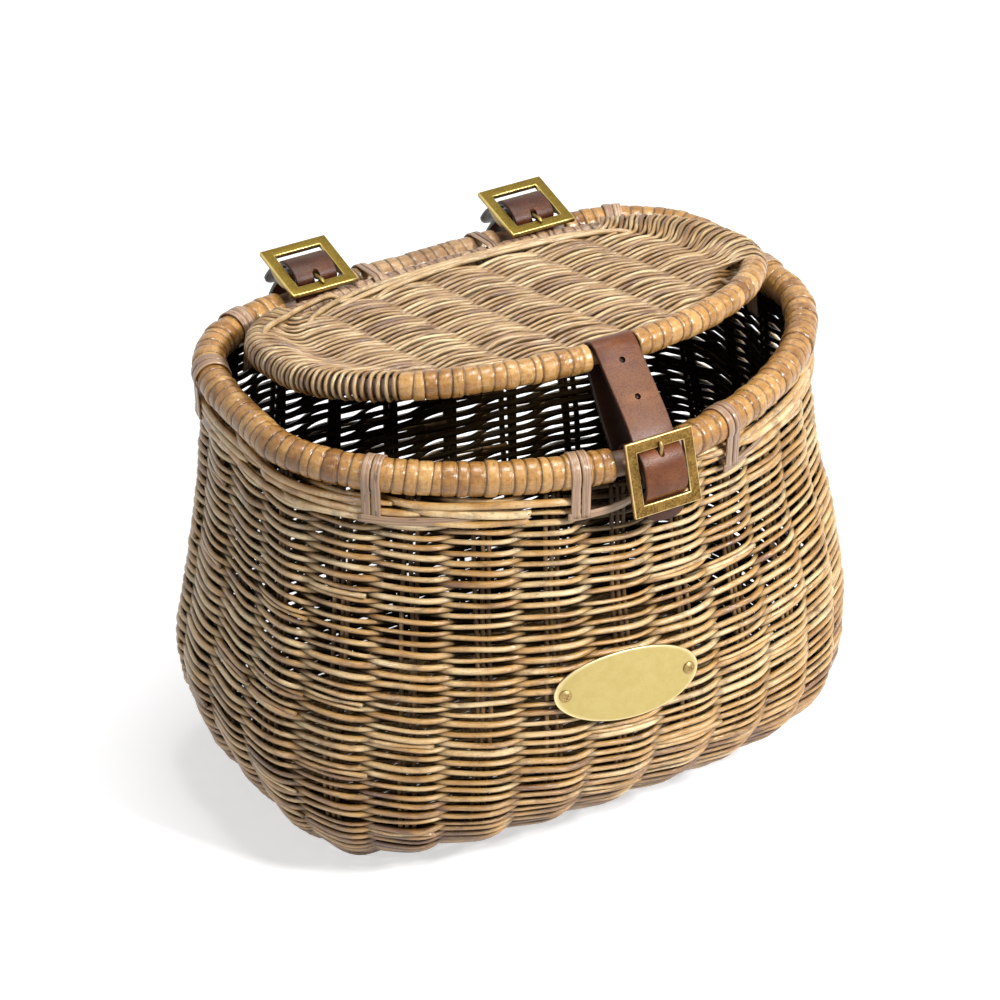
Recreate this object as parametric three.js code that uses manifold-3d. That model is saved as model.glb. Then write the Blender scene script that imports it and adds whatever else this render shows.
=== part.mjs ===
// Wicker bicycle creel: a flared woven body, a cane-bound rim, a hinged woven lid,
// one buckled closing strap in front and two buckled handlebar straps behind.
// Millimetres, Z up, front towards -Y. The origin is the middle of the base, on the floor.

import * as THREE from "three";
import { mergeVertices } from "three/addons/utils/BufferGeometryUtils.js";
import Module from "manifold-3d";

const wasm = await Module();
wasm.setup();

// Clearances between pieces that touch on the real basket.
const CLEARANCE = 0.3;
const HINGE_PLAY = 0.9;

// Rim: a round rod bent to a D, seen from above, bound with split cane.
const RIM_HEIGHT = 247;
const RIM_HALF_WIDTH = 160;
const RIM_FRONT_DEPTH = 113;
const RIM_BACK_DEPTH = 125;
const RIM_FRONT_POWER = 1.72;
const RIM_BACK_POWER = 4.2;
const RIM_SPLIT_Y = -23;
const RIM_ROD_DIAMETER = 13.5;
const RIM_BINDING_THICKNESS = 2;

// Body: half width, front depth and back depth at each height where the shape turns.
const BASE_HALF_WIDTH = 149;
const BASE_FRONT_DEPTH = 60;
const BASE_BACK_DEPTH = 120;
const BASE_FRONT_POWER = 3.6;
const BASE_THICKNESS = 9;
const HEEL_HEIGHT = 30;
const HEEL_HALF_WIDTH = 174;
const HEEL_FRONT_DEPTH = 103;
const HEEL_BACK_DEPTH = 125;
const BULGE_HEIGHT = 74;
const BULGE_HALF_WIDTH = 188;
const BULGE_FRONT_DEPTH = 130;
const BULGE_BACK_DEPTH = 131;
const BULGE_FRONT_POWER = 2;
const WAIST_HEIGHT = 124;
const WAIST_HALF_WIDTH = 180;
const WAIST_FRONT_DEPTH = 130;
const WAIST_BACK_DEPTH = 131;
const NECK_HEIGHT = 178;
const NECK_SIDE_FLARE = 5;
const NECK_FRONT_FLARE = 2;
const NECK_BACK_FLARE = 2;
const WALL_THICKNESS = 10;
const WEAVE_COLUMNS = 26;
const WEAVE_ROWS = 68;
const WEAVE_SWING = 3.1;

// Cane lashings: ties over the rim and loops that hinge the lid.
const CANE_THICKNESS = 1.2;
const TIE_WIDTH = 10;
const TIE_DROP = 25;
const TIE_SHARES = [0.056, 0.25, 0.37, 0.63, 0.69, 0.844, 0.957];
const LOOP_WIDTH = 6;
const LOOP_SPACING = 72;

// Lid: a rod hoop with a woven panel, hinged on its back rod and propped ajar.
const LID_ROD_DIAMETER = 10.6;
const LID_BINDING_THICKNESS = 1.9;
const LID_SIDE_GAP = 23;
const LID_FRONT_GAP = 33.3;
const LID_BACK_DEPTH = 92;
const LID_FRONT_POWER = 2;
const LID_BACK_POWER = 3.1;
const LID_TILT_DEGREES = 11.8;
const LID_RIB_SPACING = 33;
const LID_ROW_PITCH = 2.75;
const LID_WEAVER_DIAMETER = 3;
const LID_WEAVE_SWING = 2.3;
const LID_WEAVE_LIFT = 1.2;
const HINGE_RISE = 5;
const HINGE_SLACK = 1.5;
const LID_LEFT_BARE = 32;
const LID_RIGHT_BARE = 7;

// Split cane wound round the rods, one rib for each turn.
const WRAP_PITCH = 6.3;
const WRAP_SEAM_DEPTH = 0.6;

// Leather straps and their square centre-bar buckles.
const STRAP_WIDTH = 25;
const STRAP_THICKNESS = 2.4;
const STRAP_TAIL = 8;
const STRAP_INNER_DROP = 7;
const BUCKLE_SIZE = 40;
const BUCKLE_WINDOW = 28;
const BUCKLE_THICKNESS = 3;
const BUCKLE_CORNER = 1.5;
const BUCKLE_EDGE = 0.5;
const BAR_DIAMETER = 3.2;
const BAR_DROP = 3;
const LUG_TOP = 22;
const LUG_FOOT = 8;
const TONGUE_WIDTH = 2.8;
const TONGUE_THICKNESS = 1.4;
const TONGUE_REST = 3;
const FRONT_BUCKLE_LEAN_DEGREES = 16.6;
const FRONT_BUCKLE_REACH = 13;
const FRONT_BUCKLE_SINK = 6.2;
const REAR_STRAP_SPACING = 138;
const REAR_BUCKLE_LEAN_DEGREES = 77;
const REAR_BUCKLE_RISE = 17.9;
const REAR_BUCKLE_BACKSET = 1;
const REAR_LOOP_REACH = 35;
const REAR_SLOT_DROP = 40;

// Bare oval plate on the front of the body, with two round-headed screws.
const PLATE_LENGTH = 82;
const PLATE_HEIGHT = 40;
const PLATE_THICKNESS = 1.4;
const PLATE_X = -20;
const PLATE_Z = 123;
const PLATE_ROLL_DEGREES = 3;
const SCREW_SPACING = 72;
const SCREW_HEAD_DIAMETER = 6;
const SCREW_HEAD_HEIGHT = 1.6;
const SCREW_SHANK_DIAMETER = 2.6;

// How finely curves are cut into facets.
const OUTLINE_STEPS = 720;
const RIM_STATIONS = 72;
const LID_STATIONS = 56;
const ROD_SIDES = 8;
const ARC_SEGMENTS = 6;
const STRAP_STEPS = 60;
const PLATE_STATIONS = 17;

// Sizes that follow from the ones above.
const RIM_ROD_RADIUS = RIM_ROD_DIAMETER / 2;
const RIM_RADIUS = RIM_ROD_RADIUS + CLEARANCE + RIM_BINDING_THICKNESS;
const RIM_BACK_Y = RIM_SPLIT_Y + RIM_BACK_DEPTH;
const RIM_FRONT_Y = RIM_SPLIT_Y - RIM_FRONT_DEPTH;
const WALL_TOP = RIM_HEIGHT - RIM_RADIUS - CANE_THICKNESS - 2 * CLEARANCE;
const MOUTH_HALF_WIDTH = RIM_HALF_WIDTH + WALL_THICKNESS / 2;
const MOUTH_FRONT_DEPTH = RIM_FRONT_DEPTH + WALL_THICKNESS / 2;
const MOUTH_BACK_DEPTH = RIM_BACK_DEPTH + WALL_THICKNESS / 2;
const LID_ROD_RADIUS = LID_ROD_DIAMETER / 2;
const LID_RADIUS = LID_ROD_RADIUS + CLEARANCE + LID_BINDING_THICKNESS;
const HINGE_REACH = RIM_RADIUS + LID_ROD_RADIUS + CLEARANCE + HINGE_SLACK;
const HINGE_Y = RIM_BACK_Y - Math.sqrt(HINGE_REACH ** 2 - HINGE_RISE ** 2);
const HINGE_Z = RIM_HEIGHT + HINGE_RISE;
const LID_HALF_WIDTH = RIM_HALF_WIDTH - LID_SIDE_GAP;
const LID_BINDING_LEFT = LID_HALF_WIDTH - LID_LEFT_BARE;
const LID_BINDING_RIGHT = LID_HALF_WIDTH - LID_RIGHT_BARE;
const LID_DEPTH = HINGE_Y - RIM_FRONT_Y - LID_FRONT_GAP;
const LID_FRONT_DEPTH = LID_DEPTH - LID_BACK_DEPTH;
const LID_TILT = THREE.MathUtils.degToRad(LID_TILT_DEGREES);
const LID_INSET = LID_ROD_RADIUS + STRAP_THICKNESS + 4 * CLEARANCE;
const BAR_RADIUS = BAR_DIAMETER / 2;
const HOOK_RADIUS = BAR_RADIUS + CLEARANCE + STRAP_THICKNESS / 2;
const BUCKLE_HALF = BUCKLE_SIZE / 2;
const WINDOW_HALF = BUCKLE_WINDOW / 2;
const SIDE_WIDTH = BUCKLE_HALF - WINDOW_HALF;
const STRAP_CREST = HOOK_RADIUS - BAR_DROP + STRAP_THICKNESS + CLEARANCE;
const STRAP_UNDER = -BUCKLE_THICKNESS / 2 - STRAP_THICKNESS / 2 - 2 * CLEARANCE;
const BINDING_GAP = BUCKLE_HALF + 1;
const STRAP_X = REAR_STRAP_SPACING / 2;
const SLOT_Z = RIM_HEIGHT - REAR_SLOT_DROP;

// Materials.
const caneGold = new THREE.MeshStandardMaterial({ color: 0xb98a4e, roughness: 0.42, metalness: 0 });
const caneGrey = new THREE.MeshStandardMaterial({ color: 0x9c8672, roughness: 0.55, metalness: 0 });
const wickerBrown = new THREE.MeshStandardMaterial({ color: 0x9a6f3f, roughness: 0.6, metalness: 0 });
const wickerStraw = new THREE.MeshStandardMaterial({ color: 0xc9a877, roughness: 0.6, metalness: 0 });
const rodBrown = new THREE.MeshStandardMaterial({ color: 0x7d5a34, roughness: 0.65, metalness: 0 });
const leatherFront = new THREE.MeshStandardMaterial({ color: 0x5a2f1d, roughness: 0.45, metalness: 0 });
const leatherRear = new THREE.MeshStandardMaterial({ color: 0x45241a, roughness: 0.5, metalness: 0 });
const brassDark = new THREE.MeshStandardMaterial({ color: 0x8a6a35, roughness: 0.35, metalness: 1 });
const brassYellow = new THREE.MeshStandardMaterial({ color: 0xa98a3c, roughness: 0.4, metalness: 1 });
const brassPale = new THREE.MeshStandardMaterial({ color: 0xd8bd72, roughness: 0.3, metalness: 1 });

// Turns a drawing in the side plane so that its x runs along Y, its y up and its depth along X.
const SIDE_PLANE = new THREE.Matrix4().makeBasis(
  new THREE.Vector3(0, 1, 0),
  new THREE.Vector3(0, 0, 1),
  new THREE.Vector3(1, 0, 0)
);

// Makes the faces of a closed geometry point outwards.
function facingOut(geometry) {
  const index = geometry.index.array;
  const position = geometry.attributes.position;
  const corner = [new THREE.Vector3(), new THREE.Vector3(), new THREE.Vector3()];
  let volume = 0;
  for (let i = 0; i < index.length; i += 3) {
    corner.forEach((v, k) => v.fromBufferAttribute(position, index[i + k]));
    volume += corner[0].dot(corner[1].clone().cross(corner[2]));
  }
  if (volume < 0) {
    geometry.setIndex(Array.from(index).reverse());
  }
  return geometry;
}

// Skins a row of rings of points. A closed row joins its last ring to its first.
function loft(rings, closed) {
  const sides = rings[0].length;
  const index = [];
  const spans = closed ? rings.length : rings.length - 1;
  for (let i = 0; i < spans; i += 1) {
    const here = i * sides;
    const there = ((i + 1) % rings.length) * sides;
    for (let j = 0; j < sides; j += 1) {
      const next = (j + 1) % sides;
      index.push(here + j, here + next, there + j);
      index.push(here + next, there + next, there + j);
    }
  }
  if (!closed) {
    const last = (rings.length - 1) * sides;
    for (let j = 1; j < sides - 1; j += 1) {
      index.push(0, j + 1, j);
      index.push(last, last + j, last + j + 1);
    }
  }
  const geometry = new THREE.BufferGeometry();
  const flat = rings.flat().flatMap((p) => [p.x, p.y, p.z]);
  geometry.setAttribute("position", new THREE.Float32BufferAttribute(flat, 3));
  geometry.setIndex(index);
  return facingOut(geometry);
}

// Cuts and joins closed geometries.
function toSolid(geometry) {
  const bare = new THREE.BufferGeometry();
  bare.setAttribute("position", geometry.attributes.position.clone());
  if (geometry.index) {
    bare.setIndex(Array.from(geometry.index.array));
  }
  const merged = mergeVertices(bare);
  const mesh = new wasm.Mesh({
    numProp: 3,
    vertProperties: new Float32Array(merged.attributes.position.array),
    triVerts: new Uint32Array(merged.index.array),
  });
  return new wasm.Manifold(mesh);
}

function fromSolid(solid) {
  const mesh = solid.getMesh();
  const geometry = new THREE.BufferGeometry();
  geometry.setAttribute("position", new THREE.Float32BufferAttribute(mesh.vertProperties, 3));
  geometry.setIndex(Array.from(mesh.triVerts));
  return geometry;
}

function cut(geometry, tools) {
  const whole = tools.reduce((solid, tool) => solid.subtract(toSolid(tool)), toSolid(geometry));
  return fromSolid(whole);
}

function common(geometry, other) {
  return fromSolid(toSolid(geometry).intersect(toSolid(other)));
}

function join(geometries) {
  const solids = geometries.map(toSolid);
  return fromSolid(solids.reduce((whole, solid) => whole.add(solid)));
}

// A point of a D outline: a rounded front half and a squarer back half.
function outlinePoint(angle, shape) {
  const across = Math.cos(angle);
  const along = Math.sin(angle);
  const depth = along < 0 ? shape.front : shape.back;
  const power = along < 0 ? shape.frontPower : shape.backPower;
  const x = Math.sign(across) * shape.halfWidth * Math.abs(across) ** (2 / power);
  const y = shape.splitY + Math.sign(along) * depth * Math.abs(along) ** (2 / power);
  return new THREE.Vector2(x, y);
}

// A closed rail of evenly spaced points on a D outline, from the front middle towards +X.
function makeRail(shape, count) {
  const fine = [];
  const reach = [0];
  for (let i = 0; i <= OUTLINE_STEPS; i += 1) {
    const angle = (i / OUTLINE_STEPS) * 2 * Math.PI - Math.PI / 2;
    fine.push(outlinePoint(angle, shape));
    if (i > 0) {
      reach.push(reach[i - 1] + fine[i].distanceTo(fine[i - 1]));
    }
  }
  const total = reach[OUTLINE_STEPS];
  const points = [];
  let k = 0;
  for (let i = 0; i < count; i += 1) {
    const goal = (i / count) * total;
    while (reach[k + 1] < goal) {
      k += 1;
    }
    const share = (goal - reach[k]) / (reach[k + 1] - reach[k]);
    points.push(fine[k].clone().lerp(fine[k + 1], share));
  }
  const normals = points.map((p, i) => {
    const before = points[(i + count - 1) % count];
    const after = points[(i + 1) % count];
    const along = after.clone().sub(before).normalize();
    return new THREE.Vector2(along.y, -along.x);
  });
  return { points, normals, count };
}

// Place and outward direction at a fractional station of a rail.
function railAt(rail, station) {
  const low = Math.floor(station);
  const share = station - low;
  const here = ((low % rail.count) + rail.count) % rail.count;
  const next = (here + 1) % rail.count;
  const point = rail.points[here].clone().lerp(rail.points[next], share);
  const normal = rail.normals[here].clone().lerp(rail.normals[next], share).normalize();
  return { point, normal };
}

// Station where a rail first reaches a given x after a starting station.
function stationAtX(rail, x, start) {
  let low = start;
  for (;;) {
    const a = rail.points[low % rail.count].x;
    const b = rail.points[(low + 1) % rail.count].x;
    if ((a - x) * (b - x) <= 0 && a !== b) {
      return low + (x - a) / (b - a);
    }
    low += 1;
  }
}

// Ring of a round rod across a rail.
function rodRing(rail, station, radius, z) {
  const { point, normal } = railAt(rail, station);
  const ring = [];
  for (let i = 0; i < ROD_SIDES; i += 1) {
    const angle = ((i + 0.5) / ROD_SIDES) * 2 * Math.PI;
    const out = Math.cos(angle) * radius;
    const up = Math.sin(angle) * radius;
    ring.push(new THREE.Vector3(point.x + normal.x * out, point.y + normal.y * out, z + up));
  }
  return ring;
}

function rodHoop(rail, radius, z) {
  const rings = rail.points.map((p, i) => rodRing(rail, i, radius, z));
  return loft(rings, true);
}

// Binding sleeve round a rod between two stations, ribbed by the turns of split cane.
function bindingSleeve(rail, from, to, rodRadius, thickness, z) {
  const inner = rodRadius + CLEARANCE;
  const crown = inner + thickness;
  const seam = crown - WRAP_SEAM_DEPTH;
  const { point: a } = railAt(rail, Math.floor(from));
  const { point: b } = railAt(rail, Math.floor(from) + 1);
  const stationLength = a.distanceTo(b);
  const turns = Math.max(1, Math.round(((to - from) * stationLength) / WRAP_PITCH));
  const outside = [];
  for (let i = 0; i < turns; i += 1) {
    const start = from + ((to - from) * i) / turns;
    const middle = from + ((to - from) * (i + 0.5)) / turns;
    outside.push(rodRing(rail, start, seam, z));
    outside.push(rodRing(rail, middle, crown, z));
  }
  outside.push(rodRing(rail, to, seam, z));
  const inside = [rodRing(rail, from, inner, z)];
  for (let i = Math.floor(from) + 1; i < to; i += 1) {
    inside.push(rodRing(rail, i, inner, z));
  }
  inside.push(rodRing(rail, to, inner, z));
  return loft([...outside, ...inside.reverse()], true);
}

// Smooth value between named heights, with the slopes taken from the neighbours.
function smoothAt(stations, key, z) {
  let i = 0;
  while (i < stations.length - 2 && z > stations[i + 1].z) {
    i += 1;
  }
  const slope = (k) => {
    const before = stations[Math.max(k - 1, 0)];
    const after = stations[Math.min(k + 1, stations.length - 1)];
    return (after[key] - before[key]) / (after.z - before.z);
  };
  const low = stations[i];
  const high = stations[i + 1];
  const gap = high.z - low.z;
  const t = (z - low.z) / gap;
  const start = low[key] * (1 + 2 * t) * (1 - t) ** 2 + slope(i) * gap * t * (1 - t) ** 2;
  const end = high[key] * t ** 2 * (3 - 2 * t) - slope(i + 1) * gap * t ** 2 * (1 - t);
  return start + end;
}

const bodyStations = [
  {
    z: 0,
    halfWidth: BASE_HALF_WIDTH,
    front: BASE_FRONT_DEPTH,
    back: BASE_BACK_DEPTH,
    frontPower: BASE_FRONT_POWER,
  },
  {
    z: HEEL_HEIGHT,
    halfWidth: HEEL_HALF_WIDTH,
    front: HEEL_FRONT_DEPTH,
    back: HEEL_BACK_DEPTH,
    frontPower: (BASE_FRONT_POWER + BULGE_FRONT_POWER) / 2,
  },
  {
    z: BULGE_HEIGHT,
    halfWidth: BULGE_HALF_WIDTH,
    front: BULGE_FRONT_DEPTH,
    back: BULGE_BACK_DEPTH,
    frontPower: BULGE_FRONT_POWER,
  },
  {
    z: WAIST_HEIGHT,
    halfWidth: WAIST_HALF_WIDTH,
    front: WAIST_FRONT_DEPTH,
    back: WAIST_BACK_DEPTH,
    frontPower: BULGE_FRONT_POWER,
  },
  {
    z: NECK_HEIGHT,
    halfWidth: MOUTH_HALF_WIDTH + NECK_SIDE_FLARE,
    front: MOUTH_FRONT_DEPTH + NECK_FRONT_FLARE,
    back: MOUTH_BACK_DEPTH + NECK_BACK_FLARE,
    frontPower: (BULGE_FRONT_POWER + RIM_FRONT_POWER) / 2,
  },
  {
    z: WALL_TOP,
    halfWidth: MOUTH_HALF_WIDTH,
    front: MOUTH_FRONT_DEPTH,
    back: MOUTH_BACK_DEPTH,
    frontPower: RIM_FRONT_POWER,
  },
];

function bodyShape(z) {
  return {
    halfWidth: smoothAt(bodyStations, "halfWidth", z),
    front: smoothAt(bodyStations, "front", z),
    back: smoothAt(bodyStations, "back", z),
    frontPower: smoothAt(bodyStations, "frontPower", z),
    backPower: RIM_BACK_POWER,
    splitY: RIM_SPLIT_Y,
  };
}

// Ring of the body at a height, moved inwards, with its columns swelling between the stakes.
function bodyRing(z, insetAt) {
  const rail = makeRail(bodyShape(z), 2 * WEAVE_COLUMNS);
  const ring = [];
  for (let column = 0; column < WEAVE_COLUMNS; column += 1) {
    const p = rail.points[2 * column + 1];
    const n = rail.normals[2 * column + 1];
    const inset = insetAt(column);
    ring.push(new THREE.Vector3(p.x - n.x * inset, p.y - n.y * inset, z));
  }
  return ring;
}

function between(a, b) {
  return (a + b) / 2;
}

const wallLevels = [
  0,
  BASE_THICKNESS,
  HEEL_HEIGHT,
  between(HEEL_HEIGHT, BULGE_HEIGHT),
  BULGE_HEIGHT,
  between(BULGE_HEIGHT, WAIST_HEIGHT),
  WAIST_HEIGHT,
  between(WAIST_HEIGHT, NECK_HEIGHT),
  NECK_HEIGHT,
  between(NECK_HEIGHT, WALL_TOP),
  WALL_TOP,
];

// Body wall: a shell whose outside is woven. Each row passes over one column and under the next,
// and the row above it does the reverse.
function wallGeometry() {
  const edge = [bodyRing(0, () => WEAVE_SWING)];
  const rows = [];
  for (let row = 0; row < WEAVE_ROWS; row += 1) {
    const z = ((row + 0.5) / WEAVE_ROWS) * WALL_TOP;
    rows.push(bodyRing(z, (column) => ((row + column) % 2) * 2 * WEAVE_SWING));
  }
  const lip = [bodyRing(WALL_TOP, () => WEAVE_SWING)];
  const inside = wallLevels.map((z) => bodyRing(z, () => WALL_THICKNESS));
  const shell = loft([...edge, ...rows, ...lip, ...inside.reverse()], true);
  const slotWidth = STRAP_WIDTH + 4 * CLEARANCE;
  const slotHeight = STRAP_THICKNESS + 8 * CLEARANCE;
  const slots = [-STRAP_X, STRAP_X].map((x) => {
    const slot = new THREE.BoxGeometry(slotWidth, 4 * WALL_THICKNESS, slotHeight);
    return slot.translate(x, RIM_BACK_Y, SLOT_Z);
  });
  return cut(shell, slots);
}

function baseGeometry() {
  const edge = WALL_THICKNESS + 2 * CLEARANCE;
  const rings = [bodyRing(BASE_THICKNESS, () => edge), bodyRing(0, () => edge)];
  return loft(rings, false);
}

// A flat strip of even thickness along a line of points in the side plane.
function stripGeometry(points, thickness, width) {
  const left = [];
  const right = [];
  points.forEach((p, i) => {
    const before = points[Math.max(i - 1, 0)];
    const after = points[Math.min(i + 1, points.length - 1)];
    const along = after.clone().sub(before).normalize();
    const across = new THREE.Vector2(-along.y, along.x).multiplyScalar(thickness / 2);
    left.push(p.clone().add(across));
    right.push(p.clone().sub(across));
  });
  const shape = new THREE.Shape([...left, ...right.reverse()]);
  const geometry = new THREE.ExtrudeGeometry(shape, { depth: width, bevelEnabled: false });
  geometry.translate(0, 0, -width / 2);
  return geometry.applyMatrix4(SIDE_PLANE);
}

// Outline of a belt round two circles.
function beltPath(path, a, radiusA, b, radiusB) {
  const axis = b.clone().sub(a);
  const facing = axis.angle();
  const spread = Math.acos((radiusA - radiusB) / axis.length());
  path.absarc(a.x, a.y, radiusA, facing + spread, facing - spread + 2 * Math.PI, false);
  path.absarc(b.x, b.y, radiusB, facing - spread, facing + spread, false);
  return path;
}

// A closed band drawn tight round two rods.
function beltGeometry(a, radiusA, b, radiusB, thickness, width) {
  const shape = beltPath(new THREE.Shape(), a, radiusA + thickness, b, radiusB + thickness);
  shape.holes.push(beltPath(new THREE.Path(), a, radiusA, b, radiusB));
  const options = { depth: width, bevelEnabled: false, curveSegments: ARC_SEGMENTS };
  const geometry = new THREE.ExtrudeGeometry(shape, options);
  geometry.translate(0, 0, -width / 2);
  return geometry.applyMatrix4(SIDE_PLANE);
}

// Points of an arc in the side plane.
function arcPoints(centre, radius, from, to) {
  const clockwise = to < from;
  const arc = new THREE.EllipseCurve(centre.x, centre.y, radius, radius, from, to, clockwise);
  return arc.getPoints(ARC_SEGMENTS).map((p) => new THREE.Vector2(p.x, p.y));
}

// A cane tie: a strip bent over the rim, with a leg down each face of the wall.
function tieGeometry() {
  const radius = RIM_RADIUS + 2 * CLEARANCE + CANE_THICKNESS / 2;
  const foot = between(RIM_RADIUS, WALL_THICKNESS / 2) + CANE_THICKNESS / 2 + CLEARANCE;
  const centre = new THREE.Vector2(0, 0);
  const top = arcPoints(centre, radius, Math.PI, 0);
  const legs = [-1, 1].map((side) => [
    new THREE.Vector2(side * foot, -RIM_RADIUS - TIE_DROP),
    new THREE.Vector2(side * foot, -RIM_RADIUS - TIE_DROP / 3),
  ]);
  return stripGeometry([...legs[0], ...top, ...legs[1].reverse()], CANE_THICKNESS, TIE_WIDTH);
}

// Square buckle: a flat frame, a lug below each side and a round centre bar between the lugs.
// In its own frame y runs along the strap and z away from the strap.
function roundedSquare(path, half, radius) {
  const inside = half - radius;
  path.absarc(inside, inside, radius, 0, Math.PI / 2, false);
  path.absarc(-inside, inside, radius, Math.PI / 2, Math.PI, false);
  path.absarc(-inside, -inside, radius, Math.PI, 1.5 * Math.PI, false);
  path.absarc(inside, -inside, radius, 1.5 * Math.PI, 2 * Math.PI, false);
  return path;
}

function buckleGeometry() {
  const edge = BUCKLE_EDGE;
  const shape = roundedSquare(new THREE.Shape(), BUCKLE_HALF - edge, BUCKLE_CORNER);
  shape.holes.push(roundedSquare(new THREE.Path(), WINDOW_HALF + edge, BUCKLE_CORNER));
  const frame = new THREE.ExtrudeGeometry(shape, {
    depth: BUCKLE_THICKNESS - 2 * edge,
    bevelEnabled: true,
    bevelThickness: edge,
    bevelSize: edge,
    bevelSegments: 1,
    curveSegments: 2,
  });
  frame.translate(0, 0, edge - BUCKLE_THICKNESS / 2);
  const lugFloor = -BAR_DROP - BAR_RADIUS - edge;
  const lugShape = new THREE.Shape([
    new THREE.Vector2(-LUG_TOP / 2, 0),
    new THREE.Vector2(-LUG_FOOT / 2, lugFloor),
    new THREE.Vector2(LUG_FOOT / 2, lugFloor),
    new THREE.Vector2(LUG_TOP / 2, 0),
  ]);
  const lugWidth = SIDE_WIDTH - 2 * edge;
  const lugs = [-1, 1].map((side) => {
    const lug = new THREE.ExtrudeGeometry(lugShape, { depth: lugWidth, bevelEnabled: false });
    lug.translate(0, 0, side * between(WINDOW_HALF, BUCKLE_HALF) - lugWidth / 2);
    return lug.applyMatrix4(SIDE_PLANE);
  });
  const bar = new THREE.CylinderGeometry(BAR_RADIUS, BAR_RADIUS, BUCKLE_SIZE - SIDE_WIDTH, ROD_SIDES);
  bar.rotateZ(Math.PI / 2);
  bar.translate(0, 0, -BAR_DROP);
  return join([frame, ...lugs, bar]);
}

// Tongue: an eye on the centre bar and a prong whose tip rests on the frame.
function tongueGeometry() {
  const eyeInner = BAR_RADIUS + CLEARANCE / 2;
  const eyeOuter = eyeInner + TONGUE_THICKNESS;
  const eyeShape = new THREE.Shape();
  eyeShape.absarc(0, -BAR_DROP, eyeOuter, 0, 2 * Math.PI, false);
  const hole = new THREE.Path();
  hole.absarc(0, -BAR_DROP, eyeInner, 0, 2 * Math.PI, true);
  eyeShape.holes.push(hole);
  const options = { depth: TONGUE_WIDTH, bevelEnabled: false, curveSegments: ARC_SEGMENTS };
  const eye = new THREE.ExtrudeGeometry(eyeShape, options);
  eye.translate(0, 0, -TONGUE_WIDTH / 2);
  eye.applyMatrix4(SIDE_PLANE);
  const rest = BUCKLE_THICKNESS / 2 + CLEARANCE + TONGUE_THICKNESS / 2;
  const root = between(eyeInner, eyeOuter);
  const line = [
    new THREE.Vector2(root * 0.5, -BAR_DROP + root * 0.87),
    new THREE.Vector2(WINDOW_HALF - SIDE_WIDTH / 2, rest - CLEARANCE),
    new THREE.Vector2(WINDOW_HALF - CLEARANCE, rest),
    new THREE.Vector2(WINDOW_HALF + TONGUE_REST, rest),
  ];
  const prong = stripGeometry(line, TONGUE_THICKNESS, TONGUE_WIDTH);
  return join([eye, prong]);
}

// A box in a buckle's own frame, to cut the tongue's slots with.
function buckleBox(width, yLow, yHigh, zLow, zHigh) {
  const box = new THREE.BoxGeometry(width, yHigh - yLow, zHigh - zLow);
  return box.translate(0, between(yLow, yHigh), between(zLow, zHigh));
}

function tongueSlots() {
  const slotWidth = TONGUE_WIDTH + 4 * CLEARANCE;
  const reach = HOOK_RADIUS + STRAP_THICKNESS;
  const hookTop = STRAP_CREST - STRAP_THICKNESS / 2 - CLEARANCE / 2;
  const hookSlot = buckleBox(slotWidth, -reach, reach, -BAR_DROP - reach, hookTop);
  const holeTop = STRAP_CREST + STRAP_THICKNESS;
  const hole = buckleBox(slotWidth, HOOK_RADIUS, WINDOW_HALF - STRAP_THICKNESS / 2, STRAP_UNDER, holeTop);
  return { hookSlot, hole };
}

// Places of the buckles.
const frontLean = THREE.MathUtils.degToRad(FRONT_BUCKLE_LEAN_DEGREES);
const frontUp = new THREE.Vector2(Math.sin(frontLean), Math.cos(frontLean));
const frontOut = new THREE.Vector2(-Math.cos(frontLean), Math.sin(frontLean));
const rimFront = new THREE.Vector2(RIM_FRONT_Y, RIM_HEIGHT);
const rimBack = new THREE.Vector2(RIM_BACK_Y, RIM_HEIGHT);
const frontCentre = rimFront.clone()
  .addScaledVector(frontOut, FRONT_BUCKLE_REACH)
  .addScaledVector(frontUp, -FRONT_BUCKLE_SINK);
const frontMatrix = new THREE.Matrix4()
  .makeRotationX(Math.PI / 2 - frontLean)
  .setPosition(0, frontCentre.x, frontCentre.y);

const rearLean = THREE.MathUtils.degToRad(REAR_BUCKLE_LEAN_DEGREES);
const rearAlong = new THREE.Vector2(-Math.sin(rearLean), -Math.cos(rearLean));
const rearOut = new THREE.Vector2(-Math.cos(rearLean), Math.sin(rearLean));
const rearCentre = new THREE.Vector2(RIM_BACK_Y + REAR_BUCKLE_BACKSET, RIM_HEIGHT + REAR_BUCKLE_RISE);
function rearMatrix(x) {
  const turn = new THREE.Matrix4().makeRotationX(rearLean - Math.PI / 2);
  const half = new THREE.Matrix4().makeRotationZ(Math.PI);
  return half.multiply(turn).setPosition(x, rearCentre.x, rearCentre.y);
}

// How far the bent rim falls away from its middle, in front and behind, at a distance x aside.
function frontSag(x) {
  return RIM_FRONT_DEPTH * (1 - (1 - (x / RIM_HALF_WIDTH) ** RIM_FRONT_POWER) ** (1 / RIM_FRONT_POWER));
}

function backSag(x) {
  return RIM_BACK_DEPTH * (1 - (1 - (x / RIM_HALF_WIDTH) ** RIM_BACK_POWER) ** (1 / RIM_BACK_POWER));
}

function lidSag(x) {
  return LID_FRONT_DEPTH * (1 - (1 - (x / LID_HALF_WIDTH) ** LID_FRONT_POWER) ** (1 / LID_FRONT_POWER));
}

function inFront(along, out) {
  return frontCentre.clone().addScaledVector(frontUp, along).addScaledVector(frontOut, out);
}

function atRear(along, out) {
  return rearCentre.clone().addScaledVector(rearAlong, along).addScaledVector(rearOut, out);
}

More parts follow.
